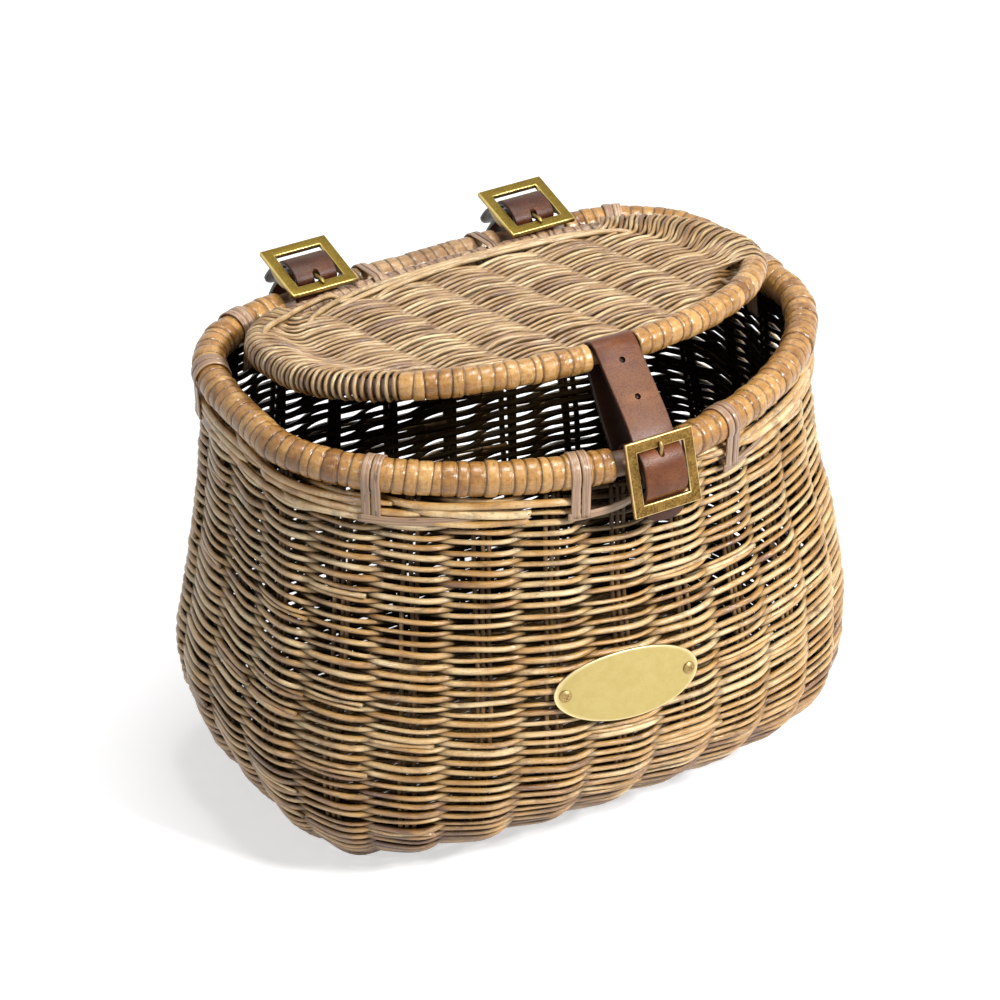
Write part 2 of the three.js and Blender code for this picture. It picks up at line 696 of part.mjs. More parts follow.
// Closing strap: up from inside the rim, over the lid's front rod, then under, over and under
// the front buckle.
function frontStrapLine() {
  const sag = lidSag(STRAP_WIDTH / 2);
  const reach = LID_DEPTH - sag / 2;
  const lidFront = new THREE.Vector2(
    HINGE_Y - reach * Math.cos(LID_TILT),
    HINGE_Z + reach * Math.sin(LID_TILT)
  );
  const fold = LID_ROD_RADIUS + CLEARANCE + sag / 2 + STRAP_THICKNESS / 2;
  const bend = inFront(BUCKLE_HALF, STRAP_UNDER);
  const towards = bend.clone().sub(lidFront);
  const touch = towards.angle() - Math.acos(fold / towards.length());
  const inside = new THREE.Vector2(
    RIM_FRONT_Y + frontSag(STRAP_WIDTH / 2) + RIM_ROD_RADIUS + 1.5 * STRAP_THICKNESS + 3 * CLEARANCE,
    RIM_HEIGHT - STRAP_INNER_DROP
  );
  const inwards = inside.clone().sub(lidFront);
  const part = inwards.angle() + Math.acos(fold / inwards.length()) - 2 * Math.PI;
  const half = between(touch, part);
  const round = [
    ...arcPoints(lidFront, fold, part, half),
    ...arcPoints(lidFront, fold, half, touch).slice(1),
  ];
  const early = bend.clone().addScaledVector(towards.clone().normalize(), -STRAP_TAIL);
  const corner = new THREE.QuadraticBezierCurve(early, bend, inFront(WINDOW_HALF, STRAP_UNDER));
  const swell = (STRAP_CREST - STRAP_UNDER) / 2;
  const pass = [];
  const passSteps = 2 * ARC_SEGMENTS;
  for (let i = 1; i <= passSteps; i += 1) {
    const along = WINDOW_HALF * (1 - (2 * i) / passSteps);
    const out = STRAP_UNDER + swell * (1 + Math.cos((Math.PI * along) / WINDOW_HALF));
    pass.push(inFront(along, out));
  }
  const tail = [inFront(-BUCKLE_HALF, STRAP_UNDER), inFront(-BUCKLE_HALF - STRAP_TAIL, STRAP_UNDER)];
  return [inside, ...round, ...corner.getPoints(4), ...pass, ...tail];
}

// Chape: a closed leather band round the rim rod and the front buckle's centre bar.
function frontChapeGeometry() {
  const bar = inFront(0, -BAR_DROP);
  const sag = frontSag(STRAP_WIDTH / 2);
  const rod = new THREE.Vector2(rimFront.x + sag / 2, rimFront.y);
  const rodFit = RIM_ROD_RADIUS + CLEARANCE + sag / 2;
  const barFit = BAR_RADIUS + CLEARANCE;
  const band = beltGeometry(rod, rodFit, bar, barFit, STRAP_THICKNESS, STRAP_WIDTH);
  return cut(band, [tongueSlots().hookSlot.applyMatrix4(frontMatrix)]);
}

// Handlebar strap: hooked on the bar, back and down to the slot in the wall, up inside behind
// the lid, over the bar under its own end, and down behind again as the free tail.
function rearStrapLine() {
  const hookFrom = 0.9 * Math.PI;
  const hookTo = -Math.PI / 3;
  const local = arcPoints(new THREE.Vector2(0, -BAR_DROP), HOOK_RADIUS, hookFrom, hookTo);
  const hook = local.map((p) => atRear(p.x, p.y));
  const step = STRAP_THICKNESS + CLEARANCE;
  const far = RIM_BACK_Y + REAR_LOOP_REACH;
  const rodInside = RIM_BACK_Y - backSag(STRAP_X + STRAP_WIDTH / 2) - RIM_ROD_RADIUS;
  const inner = rodInside - CLEARANCE - STRAP_THICKNESS / 2;
  const wallBack = RIM_BACK_Y + WALL_THICKNESS;
  const down = [
    atRear(-SIDE_WIDTH, -BAR_DROP - HOOK_RADIUS - step),
    atRear(-WINDOW_HALF, -BAR_DROP - HOOK_RADIUS - 5 * step),
    new THREE.Vector2(far - 2 * step, between(RIM_HEIGHT, SLOT_Z) + 2 * step),
    new THREE.Vector2(far, between(RIM_HEIGHT, SLOT_Z) - 2 * step),
    new THREE.Vector2(between(far, wallBack), SLOT_Z + CLEARANCE),
    new THREE.Vector2(wallBack, SLOT_Z),
    new THREE.Vector2(RIM_BACK_Y, SLOT_Z),
    new THREE.Vector2(inner + step, SLOT_Z + CLEARANCE),
    new THREE.Vector2(inner, SLOT_Z + 2 * step),
    new THREE.Vector2(inner, between(RIM_HEIGHT, SLOT_Z)),
    new THREE.Vector2(inner, RIM_HEIGHT),
  ];
  const mid = between(STRAP_CREST, -BAR_DROP);
  const over = [
    atRear(WINDOW_HALF - STRAP_THICKNESS, STRAP_UNDER - step),
    atRear(WINDOW_HALF - 1.5 * STRAP_THICKNESS, mid - STRAP_THICKNESS / 2),
    atRear(WINDOW_HALF / 2, mid + STRAP_THICKNESS / 2),
    atRear(0, STRAP_CREST),
    atRear(-WINDOW_HALF / 2, mid + STRAP_THICKNESS / 2),
    atRear(-WINDOW_HALF + STRAP_THICKNESS, STRAP_UNDER),
    atRear(-WINDOW_HALF - CLEARANCE, STRAP_UNDER - 2 * step),
    atRear(-BUCKLE_HALF, STRAP_UNDER - 4 * step),
    atRear(-BUCKLE_HALF - STRAP_TAIL, STRAP_UNDER - 10 * step),
  ];
  const leave = hook[hook.length - 1];
  const through = [leave, ...down, ...over].map((p) => new THREE.Vector3(p.x, p.y, 0));
  const curve = new THREE.CatmullRomCurve3(through, false, "centripetal");
  const run = curve.getSpacedPoints(STRAP_STEPS).map((p) => new THREE.Vector2(p.x, p.y));
  return [...hook, ...run.slice(1)];
}

function rearStrapGeometry(x) {
  const band = stripGeometry(rearStrapLine(), STRAP_THICKNESS, STRAP_WIDTH).translate(x, 0, 0);
  const { hookSlot, hole } = tongueSlots();
  return cut(band, [hookSlot.applyMatrix4(rearMatrix(x)), hole.applyMatrix4(rearMatrix(x))]);
}

function frontStrapGeometry() {
  const band = stripGeometry(frontStrapLine(), STRAP_THICKNESS, STRAP_WIDTH);
  return cut(band, [tongueSlots().hole.applyMatrix4(frontMatrix)]);
}

// Lid panel: rods woven over and under front-to-back ribs, trimmed to the inside of the hoop.
function lidPanelGeometry() {
  const radius = LID_WEAVER_DIAMETER / 2;
  const ribs = Math.ceil(LID_HALF_WIDTH / LID_RIB_SPACING);
  const rows = Math.ceil(LID_DEPTH / LID_ROW_PITCH);
  const floor = LID_WEAVE_LIFT - LID_WEAVE_SWING - radius;
  const rings = [];
  for (let row = -1; row <= rows; row += 1) {
    const y = -LID_DEPTH + LID_INSET + (row + 0.5) * LID_ROW_PITCH;
    const inside = row >= 0 && row < rows ? LID_WEAVE_SWING : 0;
    const ring = [];
    for (let rib = -ribs; rib <= ribs; rib += 1) {
      const swing = (row + rib) % 2 === 0 ? inside : -inside;
      ring.push(new THREE.Vector3(rib * LID_RIB_SPACING, y, LID_WEAVE_LIFT + swing + radius));
    }
    ring.push(new THREE.Vector3(ribs * LID_RIB_SPACING, y, floor));
    ring.push(new THREE.Vector3(-ribs * LID_RIB_SPACING, y, floor));
    rings.push(ring);
  }
  const edge = makeRail({
    halfWidth: LID_HALF_WIDTH - LID_INSET,
    front: LID_FRONT_DEPTH - LID_INSET,
    back: LID_BACK_DEPTH - LID_INSET,
    frontPower: LID_FRONT_POWER,
    backPower: LID_BACK_POWER,
    splitY: -LID_BACK_DEPTH,
  }, LID_STATIONS);
  const sides = [-LID_INSET, LID_INSET].map((z) => edge.points.map((p) => new THREE.Vector3(p.x, p.y, z)));
  const panel = common(loft(rings, false), loft(sides, false));
  const notchWidth = LOOP_WIDTH + 8 * CLEARANCE;
  const notches = [-LOOP_SPACING / 2, LOOP_SPACING / 2].map((x) => {
    const notch = new THREE.BoxGeometry(notchWidth, 4 * LID_INSET, 4 * LID_INSET);
    return notch.translate(x, 0, 0);
  });
  return cut(panel, notches);
}

// Oval plate bent to the curve of the front wall, with a hole for each screw.
function plateBend(x) {
  const shape = bodyShape(PLATE_Z);
  const share = (offset) => (1 - Math.abs(offset / shape.halfWidth) ** shape.frontPower) ** (1 / shape.frontPower);
  return -shape.front * (share(x + PLATE_X) - share(PLATE_X));
}

function plateSlope(x) {
  const step = SCREW_HEAD_DIAMETER / 2;
  return Math.atan2(plateBend(x + step) - plateBend(x - step), 2 * step);
}

function plateGeometry() {
  const rings = [];
  for (let i = 0; i < PLATE_STATIONS; i += 1) {
    const angle = ((i + 0.5) / PLATE_STATIONS) * Math.PI;
    const x = (-PLATE_LENGTH / 2) * Math.cos(angle);
    const half = (PLATE_HEIGHT / 2) * Math.sin(angle);
    const y = plateBend(x);
    rings.push([
      new THREE.Vector3(x, y - PLATE_THICKNESS, -half),
      new THREE.Vector3(x, y - PLATE_THICKNESS, half),
      new THREE.Vector3(x, y, half),
      new THREE.Vector3(x, y, -half),
    ]);
  }
  const holeRadius = SCREW_SHANK_DIAMETER / 2 + CLEARANCE;
  const holes = [-SCREW_SPACING / 2, SCREW_SPACING / 2].map((x) => {
    const hole = new THREE.CylinderGeometry(holeRadius, holeRadius, SCREW_HEAD_DIAMETER * 2, ROD_SIDES);
    return hole.rotateZ(plateSlope(x)).translate(x, plateBend(x), 0);
  });
  return cut(loft(rings, false), holes);
}

// Round-headed screw, its head towards -Y.
function screwGeometry() {
  const head = SCREW_HEAD_DIAMETER / 2;
  const shank = SCREW_SHANK_DIAMETER / 2;
  const depth = PLATE_THICKNESS;
  const profile = [
    new THREE.Vector2(0, SCREW_HEAD_HEIGHT),
    new THREE.Vector2(head * 0.6, SCREW_HEAD_HEIGHT * 0.8),
    new THREE.Vector2(head, 0),
    new THREE.Vector2(shank, 0),
    new THREE.Vector2(shank, -depth),
    new THREE.Vector2(0, -depth),
  ];
  return new THREE.LatheGeometry(profile.reverse(), ROD_SIDES).rotateX(Math.PI);
}

// The basket, piece by piece.
const basket = new THREE.Group();

function addPiece(parent, name, geometry, material) {
  const mesh = new THREE.Mesh(geometry, material);
  mesh.name = name;
  parent.add(mesh);
  return mesh;
}

addPiece(basket, "base_panel", baseGeometry(), wickerBrown);
addPiece(basket, "wall_weave", wallGeometry(), wickerBrown);

const rimShape = {
  halfWidth: RIM_HALF_WIDTH,
  front: RIM_FRONT_DEPTH,
  back: RIM_BACK_DEPTH,
  frontPower: RIM_FRONT_POWER,
  backPower: RIM_BACK_POWER,
  splitY: RIM_SPLIT_Y,
};
const rimRail = makeRail(rimShape, RIM_STATIONS);
addPiece(basket, "rim_rod", rodHoop(rimRail, RIM_ROD_RADIUS, RIM_HEIGHT), rodBrown);

const quarter = RIM_STATIONS / 4;
const rightStart = stationAtX(rimRail, BINDING_GAP, 0);
const rightEnd = stationAtX(rimRail, STRAP_X + BINDING_GAP, quarter);
const backStart = stationAtX(rimRail, STRAP_X - BINDING_GAP, quarter);
const backEnd = stationAtX(rimRail, -STRAP_X + BINDING_GAP, quarter);
const leftStart = stationAtX(rimRail, -STRAP_X - BINDING_GAP, quarter);
const leftEnd = RIM_STATIONS - rightStart;
[
  ["rim_binding_right", rightStart, rightEnd],
  ["rim_binding_back", backStart, backEnd],
  ["rim_binding_left", leftStart, leftEnd],
].forEach(([name, from, to]) => {
  const sleeve = bindingSleeve(rimRail, from, to, RIM_ROD_RADIUS, RIM_BINDING_THICKNESS, RIM_HEIGHT);
  addPiece(basket, name, sleeve, caneGold);
});

TIE_SHARES.forEach((share, i) => {
  const { point, normal } = railAt(rimRail, share * RIM_STATIONS);
  const holder = new THREE.Group();
  holder.position.set(point.x, point.y, RIM_HEIGHT);
  holder.rotation.z = Math.atan2(normal.y, normal.x) - Math.PI / 2;
  addPiece(holder, `rim_tie_${i + 1}`, tieGeometry(), caneGrey);
  basket.add(holder);
});

const lidAxis = new THREE.Vector2(HINGE_Y, HINGE_Z);
[["hinge_loop_left", -1], ["hinge_loop_right", 1]].forEach(([name, side]) => {
  const rimFit = RIM_RADIUS + CLEARANCE;
  const lidFit = LID_ROD_RADIUS + HINGE_PLAY;
  const loop = beltGeometry(rimBack, rimFit, lidAxis, lidFit, CANE_THICKNESS, LOOP_WIDTH);
  const mesh = addPiece(basket, name, loop, caneGrey);
  mesh.position.x = (side * LOOP_SPACING) / 2;
});

// The lid turns as one about its back rod.
const lid = new THREE.Group();
lid.position.set(0, HINGE_Y, HINGE_Z);
lid.rotation.x = -LID_TILT;
basket.add(lid);
const lidShape = {
  halfWidth: LID_HALF_WIDTH,
  front: LID_FRONT_DEPTH,
  back: LID_BACK_DEPTH,
  frontPower: LID_FRONT_POWER,
  backPower: LID_BACK_POWER,
  splitY: -LID_BACK_DEPTH,
};
const lidRail = makeRail(lidShape, LID_STATIONS);
addPiece(lid, "lid_hoop", rodHoop(lidRail, LID_ROD_RADIUS, 0), rodBrown);
addPiece(lid, "lid_panel", lidPanelGeometry(), wickerStraw);
const lidGap = STRAP_WIDTH / 2 + 4 * CLEARANCE;
const lidStart = stationAtX(lidRail, lidGap, 0);
const lidRight = stationAtX(lidRail, LID_BINDING_RIGHT, 0);
const lidLeft = LID_STATIONS - stationAtX(lidRail, LID_BINDING_LEFT, 0);
[
  ["lid_binding_right", lidStart, lidRight],
  ["lid_binding_left", lidLeft, LID_STATIONS - lidStart],
].forEach(([name, from, to]) => {
  const sleeve = bindingSleeve(lidRail, from, to, LID_ROD_RADIUS, LID_BINDING_THICKNESS, 0);
  addPiece(lid, name, sleeve, caneGold);
});

addPiece(basket, "front_strap", frontStrapGeometry(), leatherFront);
addPiece(basket, "front_chape", frontChapeGeometry(), leatherFront);
const frontBuckle = new THREE.Group();
frontBuckle.applyMatrix4(frontMatrix);
basket.add(frontBuckle);
addPiece(frontBuckle, "front_buckle", buckleGeometry(), brassDark);
addPiece(frontBuckle, "front_tongue", tongueGeometry(), brassDark);

[["left", -STRAP_X], ["right", STRAP_X]].forEach(([side, x]) => {
  addPiece(basket, `rear_strap_${side}`, rearStrapGeometry(x), leatherRear);
  const holder = new THREE.Group();
  holder.applyMatrix4(rearMatrix(x));
  basket.add(holder);
  addPiece(holder, `rear_buckle_${side}`, buckleGeometry(), brassYellow);
  addPiece(holder, `rear_tongue_${side}`, tongueGeometry(), brassYellow);
});

// The plate lies on the crests of the weave, leaning with the wall.
const plateShape = bodyShape(PLATE_Z);
const plateRun = smoothAt(bodyStations, "front", PLATE_Z + PLATE_HEIGHT / 2)
  - smoothAt(bodyStations, "front", PLATE_Z - PLATE_HEIGHT / 2);
const plateShare = 1 - Math.abs(PLATE_X / plateShape.halfWidth) ** plateShape.frontPower;
const plateY = RIM_SPLIT_Y - plateShape.front * plateShare ** (1 / plateShape.frontPower);
const plate = new THREE.Group();
plate.position.set(PLATE_X, plateY - 2 * CLEARANCE, PLATE_Z);
plate.rotation.x = Math.atan2(plateRun, PLATE_HEIGHT);
const plateRoll = new THREE.Group();
plateRoll.rotation.y = THREE.MathUtils.degToRad(PLATE_ROLL_DEGREES);
plate.add(plateRoll);
basket.add(plate);
addPiece(plateRoll, "badge_plate", plateGeometry(), brassPale);
[["badge_screw_left", -1], ["badge_screw_right", 1]].forEach(([name, side]) => {
  const x = (side * SCREW_SPACING) / 2;
  const screw = addPiece(plateRoll, name, screwGeometry(), brassYellow);
  const lean = plateSlope(x);
  const lift = PLATE_THICKNESS + CLEARANCE;
  screw.position.set(x + lift * Math.sin(lean), plateBend(x) - lift * Math.cos(lean), 0);
  screw.rotation.z = lean;
});

export default basket;
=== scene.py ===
"""Looks of the wicker bicycle creel: every rod, cane wrap, strap and buckle as a worked-out surface.

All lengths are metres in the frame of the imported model: +Z up, the buckled front towards -Y,
the origin in the middle of the base. Each surface is a grid of two parameters held in numpy arrays.
"""

import math

import bpy
import numpy as np
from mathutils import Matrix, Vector


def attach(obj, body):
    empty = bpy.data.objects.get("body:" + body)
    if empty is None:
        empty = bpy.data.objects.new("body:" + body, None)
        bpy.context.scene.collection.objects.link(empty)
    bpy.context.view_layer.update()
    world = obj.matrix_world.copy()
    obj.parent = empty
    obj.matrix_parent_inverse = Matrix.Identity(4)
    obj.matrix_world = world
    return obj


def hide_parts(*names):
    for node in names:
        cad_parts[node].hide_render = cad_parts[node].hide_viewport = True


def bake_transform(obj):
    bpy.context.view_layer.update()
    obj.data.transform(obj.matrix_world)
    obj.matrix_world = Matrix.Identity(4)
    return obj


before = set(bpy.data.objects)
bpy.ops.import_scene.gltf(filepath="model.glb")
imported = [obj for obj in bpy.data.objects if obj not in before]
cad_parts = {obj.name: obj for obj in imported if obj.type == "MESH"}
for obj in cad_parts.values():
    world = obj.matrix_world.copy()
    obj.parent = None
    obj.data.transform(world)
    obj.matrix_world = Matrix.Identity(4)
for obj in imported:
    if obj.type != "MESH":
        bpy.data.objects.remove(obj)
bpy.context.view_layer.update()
MM = 0.001
TURN = 2 * math.pi
UP = np.array([0.0, 0.0, 1.0])
chance = np.random.default_rng(11)

# Rim: a D in plan with a rounded front half and a squarer back half.
RIM_HEIGHT = 247 * MM
RIM_HALF_WIDTH = 160 * MM
RIM_FRONT_DEPTH = 113 * MM
RIM_BACK_DEPTH = 125 * MM
RIM_FRONT_POWER = 1.72
RIM_BACK_POWER = 4.2
SPLIT_Y = -23 * MM
RIM_ROD_RADIUS = 6.75 * MM
RIM_RADIUS = 9.05 * MM
RIM_FRONT_Y = SPLIT_Y - RIM_FRONT_DEPTH
RIM_BACK_Y = SPLIT_Y + RIM_BACK_DEPTH

# Wall: heights where the shape turns, with half width, front depth, back depth and front power there.
WALL_TOP = 236.15 * MM
WALL_STATIONS = np.array([
    [0, 149, 60, 120, 3.6],
    [30, 174, 103, 125, 2.8],
    [74, 188, 130, 131, 2.0],
    [124, 180, 130, 131, 2.0],
    [178, 170, 120, 132, 1.86],
    [236.15, 165, 118, 130, 1.72],
]) * np.array([MM, MM, MM, MM, 1])
WALL_THICKNESS = 10 * MM
COLUMNS = 26
WEAVER_RADIUS = 1.66 * MM
ROWS = 84
WEAVER_SWING = 3.1 * MM
STAKE_RADIUS = 1.25 * MM
STAKE_SPREAD = 3.3 * MM

# Base: height of its middle, its rods and the ribs and rings they lie on.
BASE_MIDDLE = 4.4 * MM
BASE_PITCH = 3 * MM
BASE_SWING = 1.5 * MM
BASE_ROD_RADIUS = 1.75 * MM
BASE_RIB_SPACING = 30 * MM
BASE_RIB_RADIUS = 1.9 * MM
BASE_RING_RADIUS = 2.1 * MM

# Split cane: width of a turn, depth of the seam between turns, and the strips of the ties and loops.
WRAP_PITCH = 6.8 * MM
SEAM_DEPTH = 0.75 * MM
TIE_WIDTH = 4.9 * MM
TIE_THICKNESS = 1.1 * MM
TIE_DROP = 14.5 * MM
TAIL_WIDTH = 4.6 * MM
LOOP_WIDTH = 2.9 * MM
THIN_CANE = 1 * MM

# Lid: tilted D hoop, hinged at the back.
HINGE_Y = 86.6435 * MM
HINGE_Z = 252 * MM
LID_TILT = math.radians(11.8)
LID_ROD_RADIUS = 5.3 * MM
LID_RADIUS = 7.5 * MM
LID_HALF_WIDTH = 137 * MM
LID_BACK_DEPTH = 92 * MM
LID_FRONT_DEPTH = HINGE_Y - RIM_FRONT_Y - 33.3 * MM - LID_BACK_DEPTH
LID_INSET = 8.9 * MM
LID_FRONT_POWER = 2.0
LID_BACK_POWER = 3.1
LID_RIB_SPACING = 33 * MM
LID_ROD_PITCH = 2.75 * MM
LID_WEAVER_RADIUS = 1.5 * MM
LID_SWING = 2.3 * MM
LID_MIDDLE = 1.2 * MM
LID_RIB_RADIUS = 1.7 * MM
LID_BACK_ROD_RADIUS = 1.75 * MM
LID_LAST_ROW_Y = -17 * MM
LID_BARE_LEFT_Y = -150 * MM
LID_BARE_RIGHT_Y = -129 * MM
LID_BOUND_RIGHT_X = 124 * MM
LID_BOUND_LEFT_X = 105 * MM
LID_BACK_CANE_X = 100 * MM
HINGE_LOOP_X = 36 * MM

# Straps and buckles.
STRAP_WIDTH = 25 * MM
STRAP_THICKNESS = 2.4 * MM
STRAP_X = 69 * MM
BUCKLE_HALF = 20 * MM
WINDOW_HALF = 14 * MM
BUCKLE_THICKNESS = 3 * MM
BAR_RADIUS = 1.6 * MM
BAR_DROP = 3 * MM
FIT = 0.3 * MM
FRONT_LEAN = math.radians(16.6)
FRONT_REACH = 13 * MM
FRONT_SINK = 6.2 * MM
REAR_LEAN = math.radians(77)
REAR_CENTRE = np.array([RIM_BACK_Y + 1.0 * MM, RIM_HEIGHT + 17.9 * MM])
REAR_LOOP_REACH = 35 * MM
SLOT_Z = RIM_HEIGHT - 40 * MM

# Oval plate.
PLATE_HALF_LENGTH = 42 * MM
PLATE_HALF_HEIGHT = 20 * MM
PLATE_THICKNESS = 1.4 * MM
PLATE_X = -20 * MM
PLATE_Z = 123 * MM
PLATE_ROLL = math.radians(3)
SCREW_REACH = 36 * MM
SCREW_RADIUS = 3.4 * MM


def unit(v):
    """Vectors scaled to length one along the last axis."""
    return v / np.maximum(np.linalg.norm(v, axis=-1, keepdims=True), 1e-12)


def smoothstep(x):
    """The ramp 3x2 - 2x3, held at 0 and 1 outside the unit span."""
    t = np.clip(x, 0, 1)
    return t * t * (3 - 2 * t)


def quarter(t, power):
    """Height of a superellipse quarter: (1 - |t| to the power) to one over the power, |t| held to one."""
    return (1 - np.clip(np.abs(t), 0, 1) ** power) ** (1 / power)


def cubic(first, leave, last, arrive, t):
    """Cubic from first to last: first (2t3 - 3t2 + 1) + leave (t3 - 2t2 + t) + last (3t2 - 2t3) +
    arrive (t3 - t2), leave and arrive being its slopes at the ends."""
    return (first * (2 * t ** 3 - 3 * t ** 2 + 1) + leave * (t ** 3 - 2 * t ** 2 + t)
            + last * (3 * t ** 2 - 2 * t ** 3) + arrive * (t ** 3 - t ** 2))


def travelled(points):
    """Distance gone along each line of points, zero at its first."""
    step = np.linalg.norm(np.diff(points, axis=-2), axis=-1)
    return np.concatenate([np.zeros(step.shape[:-1] + (1,)), np.cumsum(step, -1)], -1)


def at_x(x, side):
    """Places or directions (y, z) in the side plane, set at an x."""
    side = np.asarray(side)
    return np.concatenate([np.full(side.shape[:-1] + (1,), float(x)), side], -1)


def belt(first, big, second, small, counts):
    """A closed line in the side plane round two circles, and its outward directions. It leaves each circle at
    the angle from the line of centres whose cosine is (big - small) over their distance."""
    axis = second - first
    facing = math.atan2(axis[1], axis[0])
    spread = math.acos((big - small) / np.linalg.norm(axis))
    angle = np.concatenate([np.linspace(facing + spread, facing + TURN - spread, counts[0]),
                            np.linspace(facing - spread, facing + spread, counts[1]), [facing + spread]])
    out = np.stack([np.cos(angle), np.sin(angle)], -1)
    on_first = (np.arange(len(angle)) % sum(counts) < counts[0])[:, None]
    return np.where(on_first, first + big * out, second + small * out), out


def nearest(line, spot):
    """Number of the point of a line that is nearest to a place."""
    return int(np.argmin(np.linalg.norm(line - spot, axis=1)))


def wander(count, stations, waves, closed=True):
    """Smooth random lines: sums of a few sine waves with random phase, about one in height."""
    spot = np.arange(stations) / (stations if closed else stations - 1)
    phase = chance.uniform(0, TURN, (count, len(waves), 1))
    weight = chance.normal(0, 1, (count, len(waves), 1)) / math.sqrt(len(waves))
    wave = np.asarray(waves, float).reshape(1, -1, 1)
    return (weight * np.sin(TURN * wave * spot + phase)).sum(axis=1)


# Meshes.
def set_mark(mesh, mark, values):
    """Writes a number or a vector at each point of a mesh."""
    kind, key = ("FLOAT_VECTOR", "vector") if values.ndim == 2 else ("FLOAT", "value")
    layer = mesh.attributes.new(mark, kind, "POINT")
    layer.data.foreach_set(key, np.ascontiguousarray(values, np.float32).ravel())


def make_piece(name, verts, faces, material, body, stands_for=(), marks=None):
    """A mesh from an (n, 3) array of points and a list of (m, k) arrays of face corners."""
    mesh = bpy.data.meshes.new(name)
    corners = np.concatenate([f.ravel() for f in faces]).astype(np.int32)
    sizes = np.concatenate([np.full(len(f), f.shape[1]) for f in faces])
    starts = np.concatenate([[0], np.cumsum(sizes)[:-1]]).astype(np.int32)
    mesh.vertices.add(len(verts))
    mesh.vertices.foreach_set("co", np.ascontiguousarray(verts, np.float32).ravel())
    mesh.loops.add(len(corners))
    mesh.loops.foreach_set("vertex_index", corners)
    mesh.polygons.add(len(sizes))
    mesh.polygons.foreach_set("loop_start", starts)
    mesh.update(calc_edges=True)
    for mark, values in (marks or {}).items():
        set_mark(mesh, mark, values)
    mesh.validate()
    mesh.shade_smooth()
    mesh.materials.append(material)
    piece = bpy.data.objects.new(name, mesh)
    bpy.context.scene.collection.objects.link(piece)
    if body:
        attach(piece, body)
    if stands_for:
        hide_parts(*stands_for)
    return piece


class Heap:
    """Collects point, face and mark arrays so that many surfaces become one piece."""

    def __init__(self):
        """Starts with nothing in it."""
        self.verts, self.faces, self.marks, self.count = [], {}, {}, 0

    def add(self, verts, faces, **marks):
        """Takes one surface's points, faces and marks."""
        flat = verts.reshape(-1, 3)
        for f in faces:
            self.faces.setdefault(f.shape[1], []).append(f + self.count)
        for mark, values in marks.items():
            self.marks.setdefault(mark, []).append(values)
        self.verts.append(flat)
        self.count += len(flat)

    def piece(self, name, material, body, slot, stands_for=()):
        """Turns all that was added into one piece."""
        faces = [np.concatenate(f) for f in self.faces.values()]
        marks = {k: np.concatenate(v) for k, v in self.marks.items()}
        return make_piece(name, np.concatenate(self.verts), faces, material, body, stands_for, marks)


def skin(rows, across_closed, along_closed, caps):
    """Quads over a (lines, stations, sides) grid of vertex numbers, with end caps if asked."""
    here = rows if along_closed else rows[:, :-1]
    there = np.roll(rows, -1, 1) if along_closed else rows[:, 1:]
    if across_closed:
        quads = np.stack([here, np.roll(here, -1, 2), np.roll(there, -1, 2), there], -1)
    else:
        quads = np.stack([here[..., :-1], here[..., 1:], there[..., 1:], there[..., :-1]], -1)
    faces = [quads.reshape(-1, 4)]
    if caps:
        faces += [rows[:, 0, ::-1], rows[:, -1]]
    return faces


def sweep(path, normal, profile, closed=False, scale=None):
    """A profile carried along paths: each point is path + a*up + b*side, up being the normal
    squared to the path. path is (lines, stations, 3) and profile is (sides, 2) of (up, side)."""
    ahead = np.roll(path, -1, 1) - np.roll(path, 1, 1)
    if not closed:
        ahead[:, 0] = path[:, 1] - path[:, 0]
        ahead[:, -1] = path[:, -1] - path[:, -2]
    tangent = unit(ahead)
    side = unit(np.cross(tangent, np.broadcast_to(normal, path.shape)))
    up = np.cross(side, tangent)
    size = np.ones(path.shape[:2]) if scale is None else np.broadcast_to(scale, path.shape[:2])
    size = size[..., None, None]
    section = profile[:, 0, None] * up[:, :, None] + profile[:, 1, None] * side[:, :, None]
    verts = path[:, :, None] + size * section
    rows = np.arange(verts[..., 0].size).reshape(verts.shape[:3])
    return verts, skin(rows, True, closed, not closed)


def circle(sides):
    """A round profile of radius one."""
    angle = TURN * np.arange(sides) / sides
    return np.stack([np.cos(angle), np.sin(angle)], -1)


def slab(thickness, width, edge, steps=3):
    """A flat profile with rounded edges: a rectangle of (thickness, width) with corner arcs."""
    a, b = thickness / 2 - edge, width / 2 - edge
    turn = np.linspace(0, math.pi / 2, steps)
    corner = []
    for k, (sa, sb) in enumerate([(1, 1), (-1, 1), (-1, -1), (1, -1)]):
        angle = turn + k * math.pi / 2
        corner.append(np.stack([sa * a + edge * np.cos(angle), sb * b + edge * np.sin(angle)], -1))
    return np.concatenate(corner)


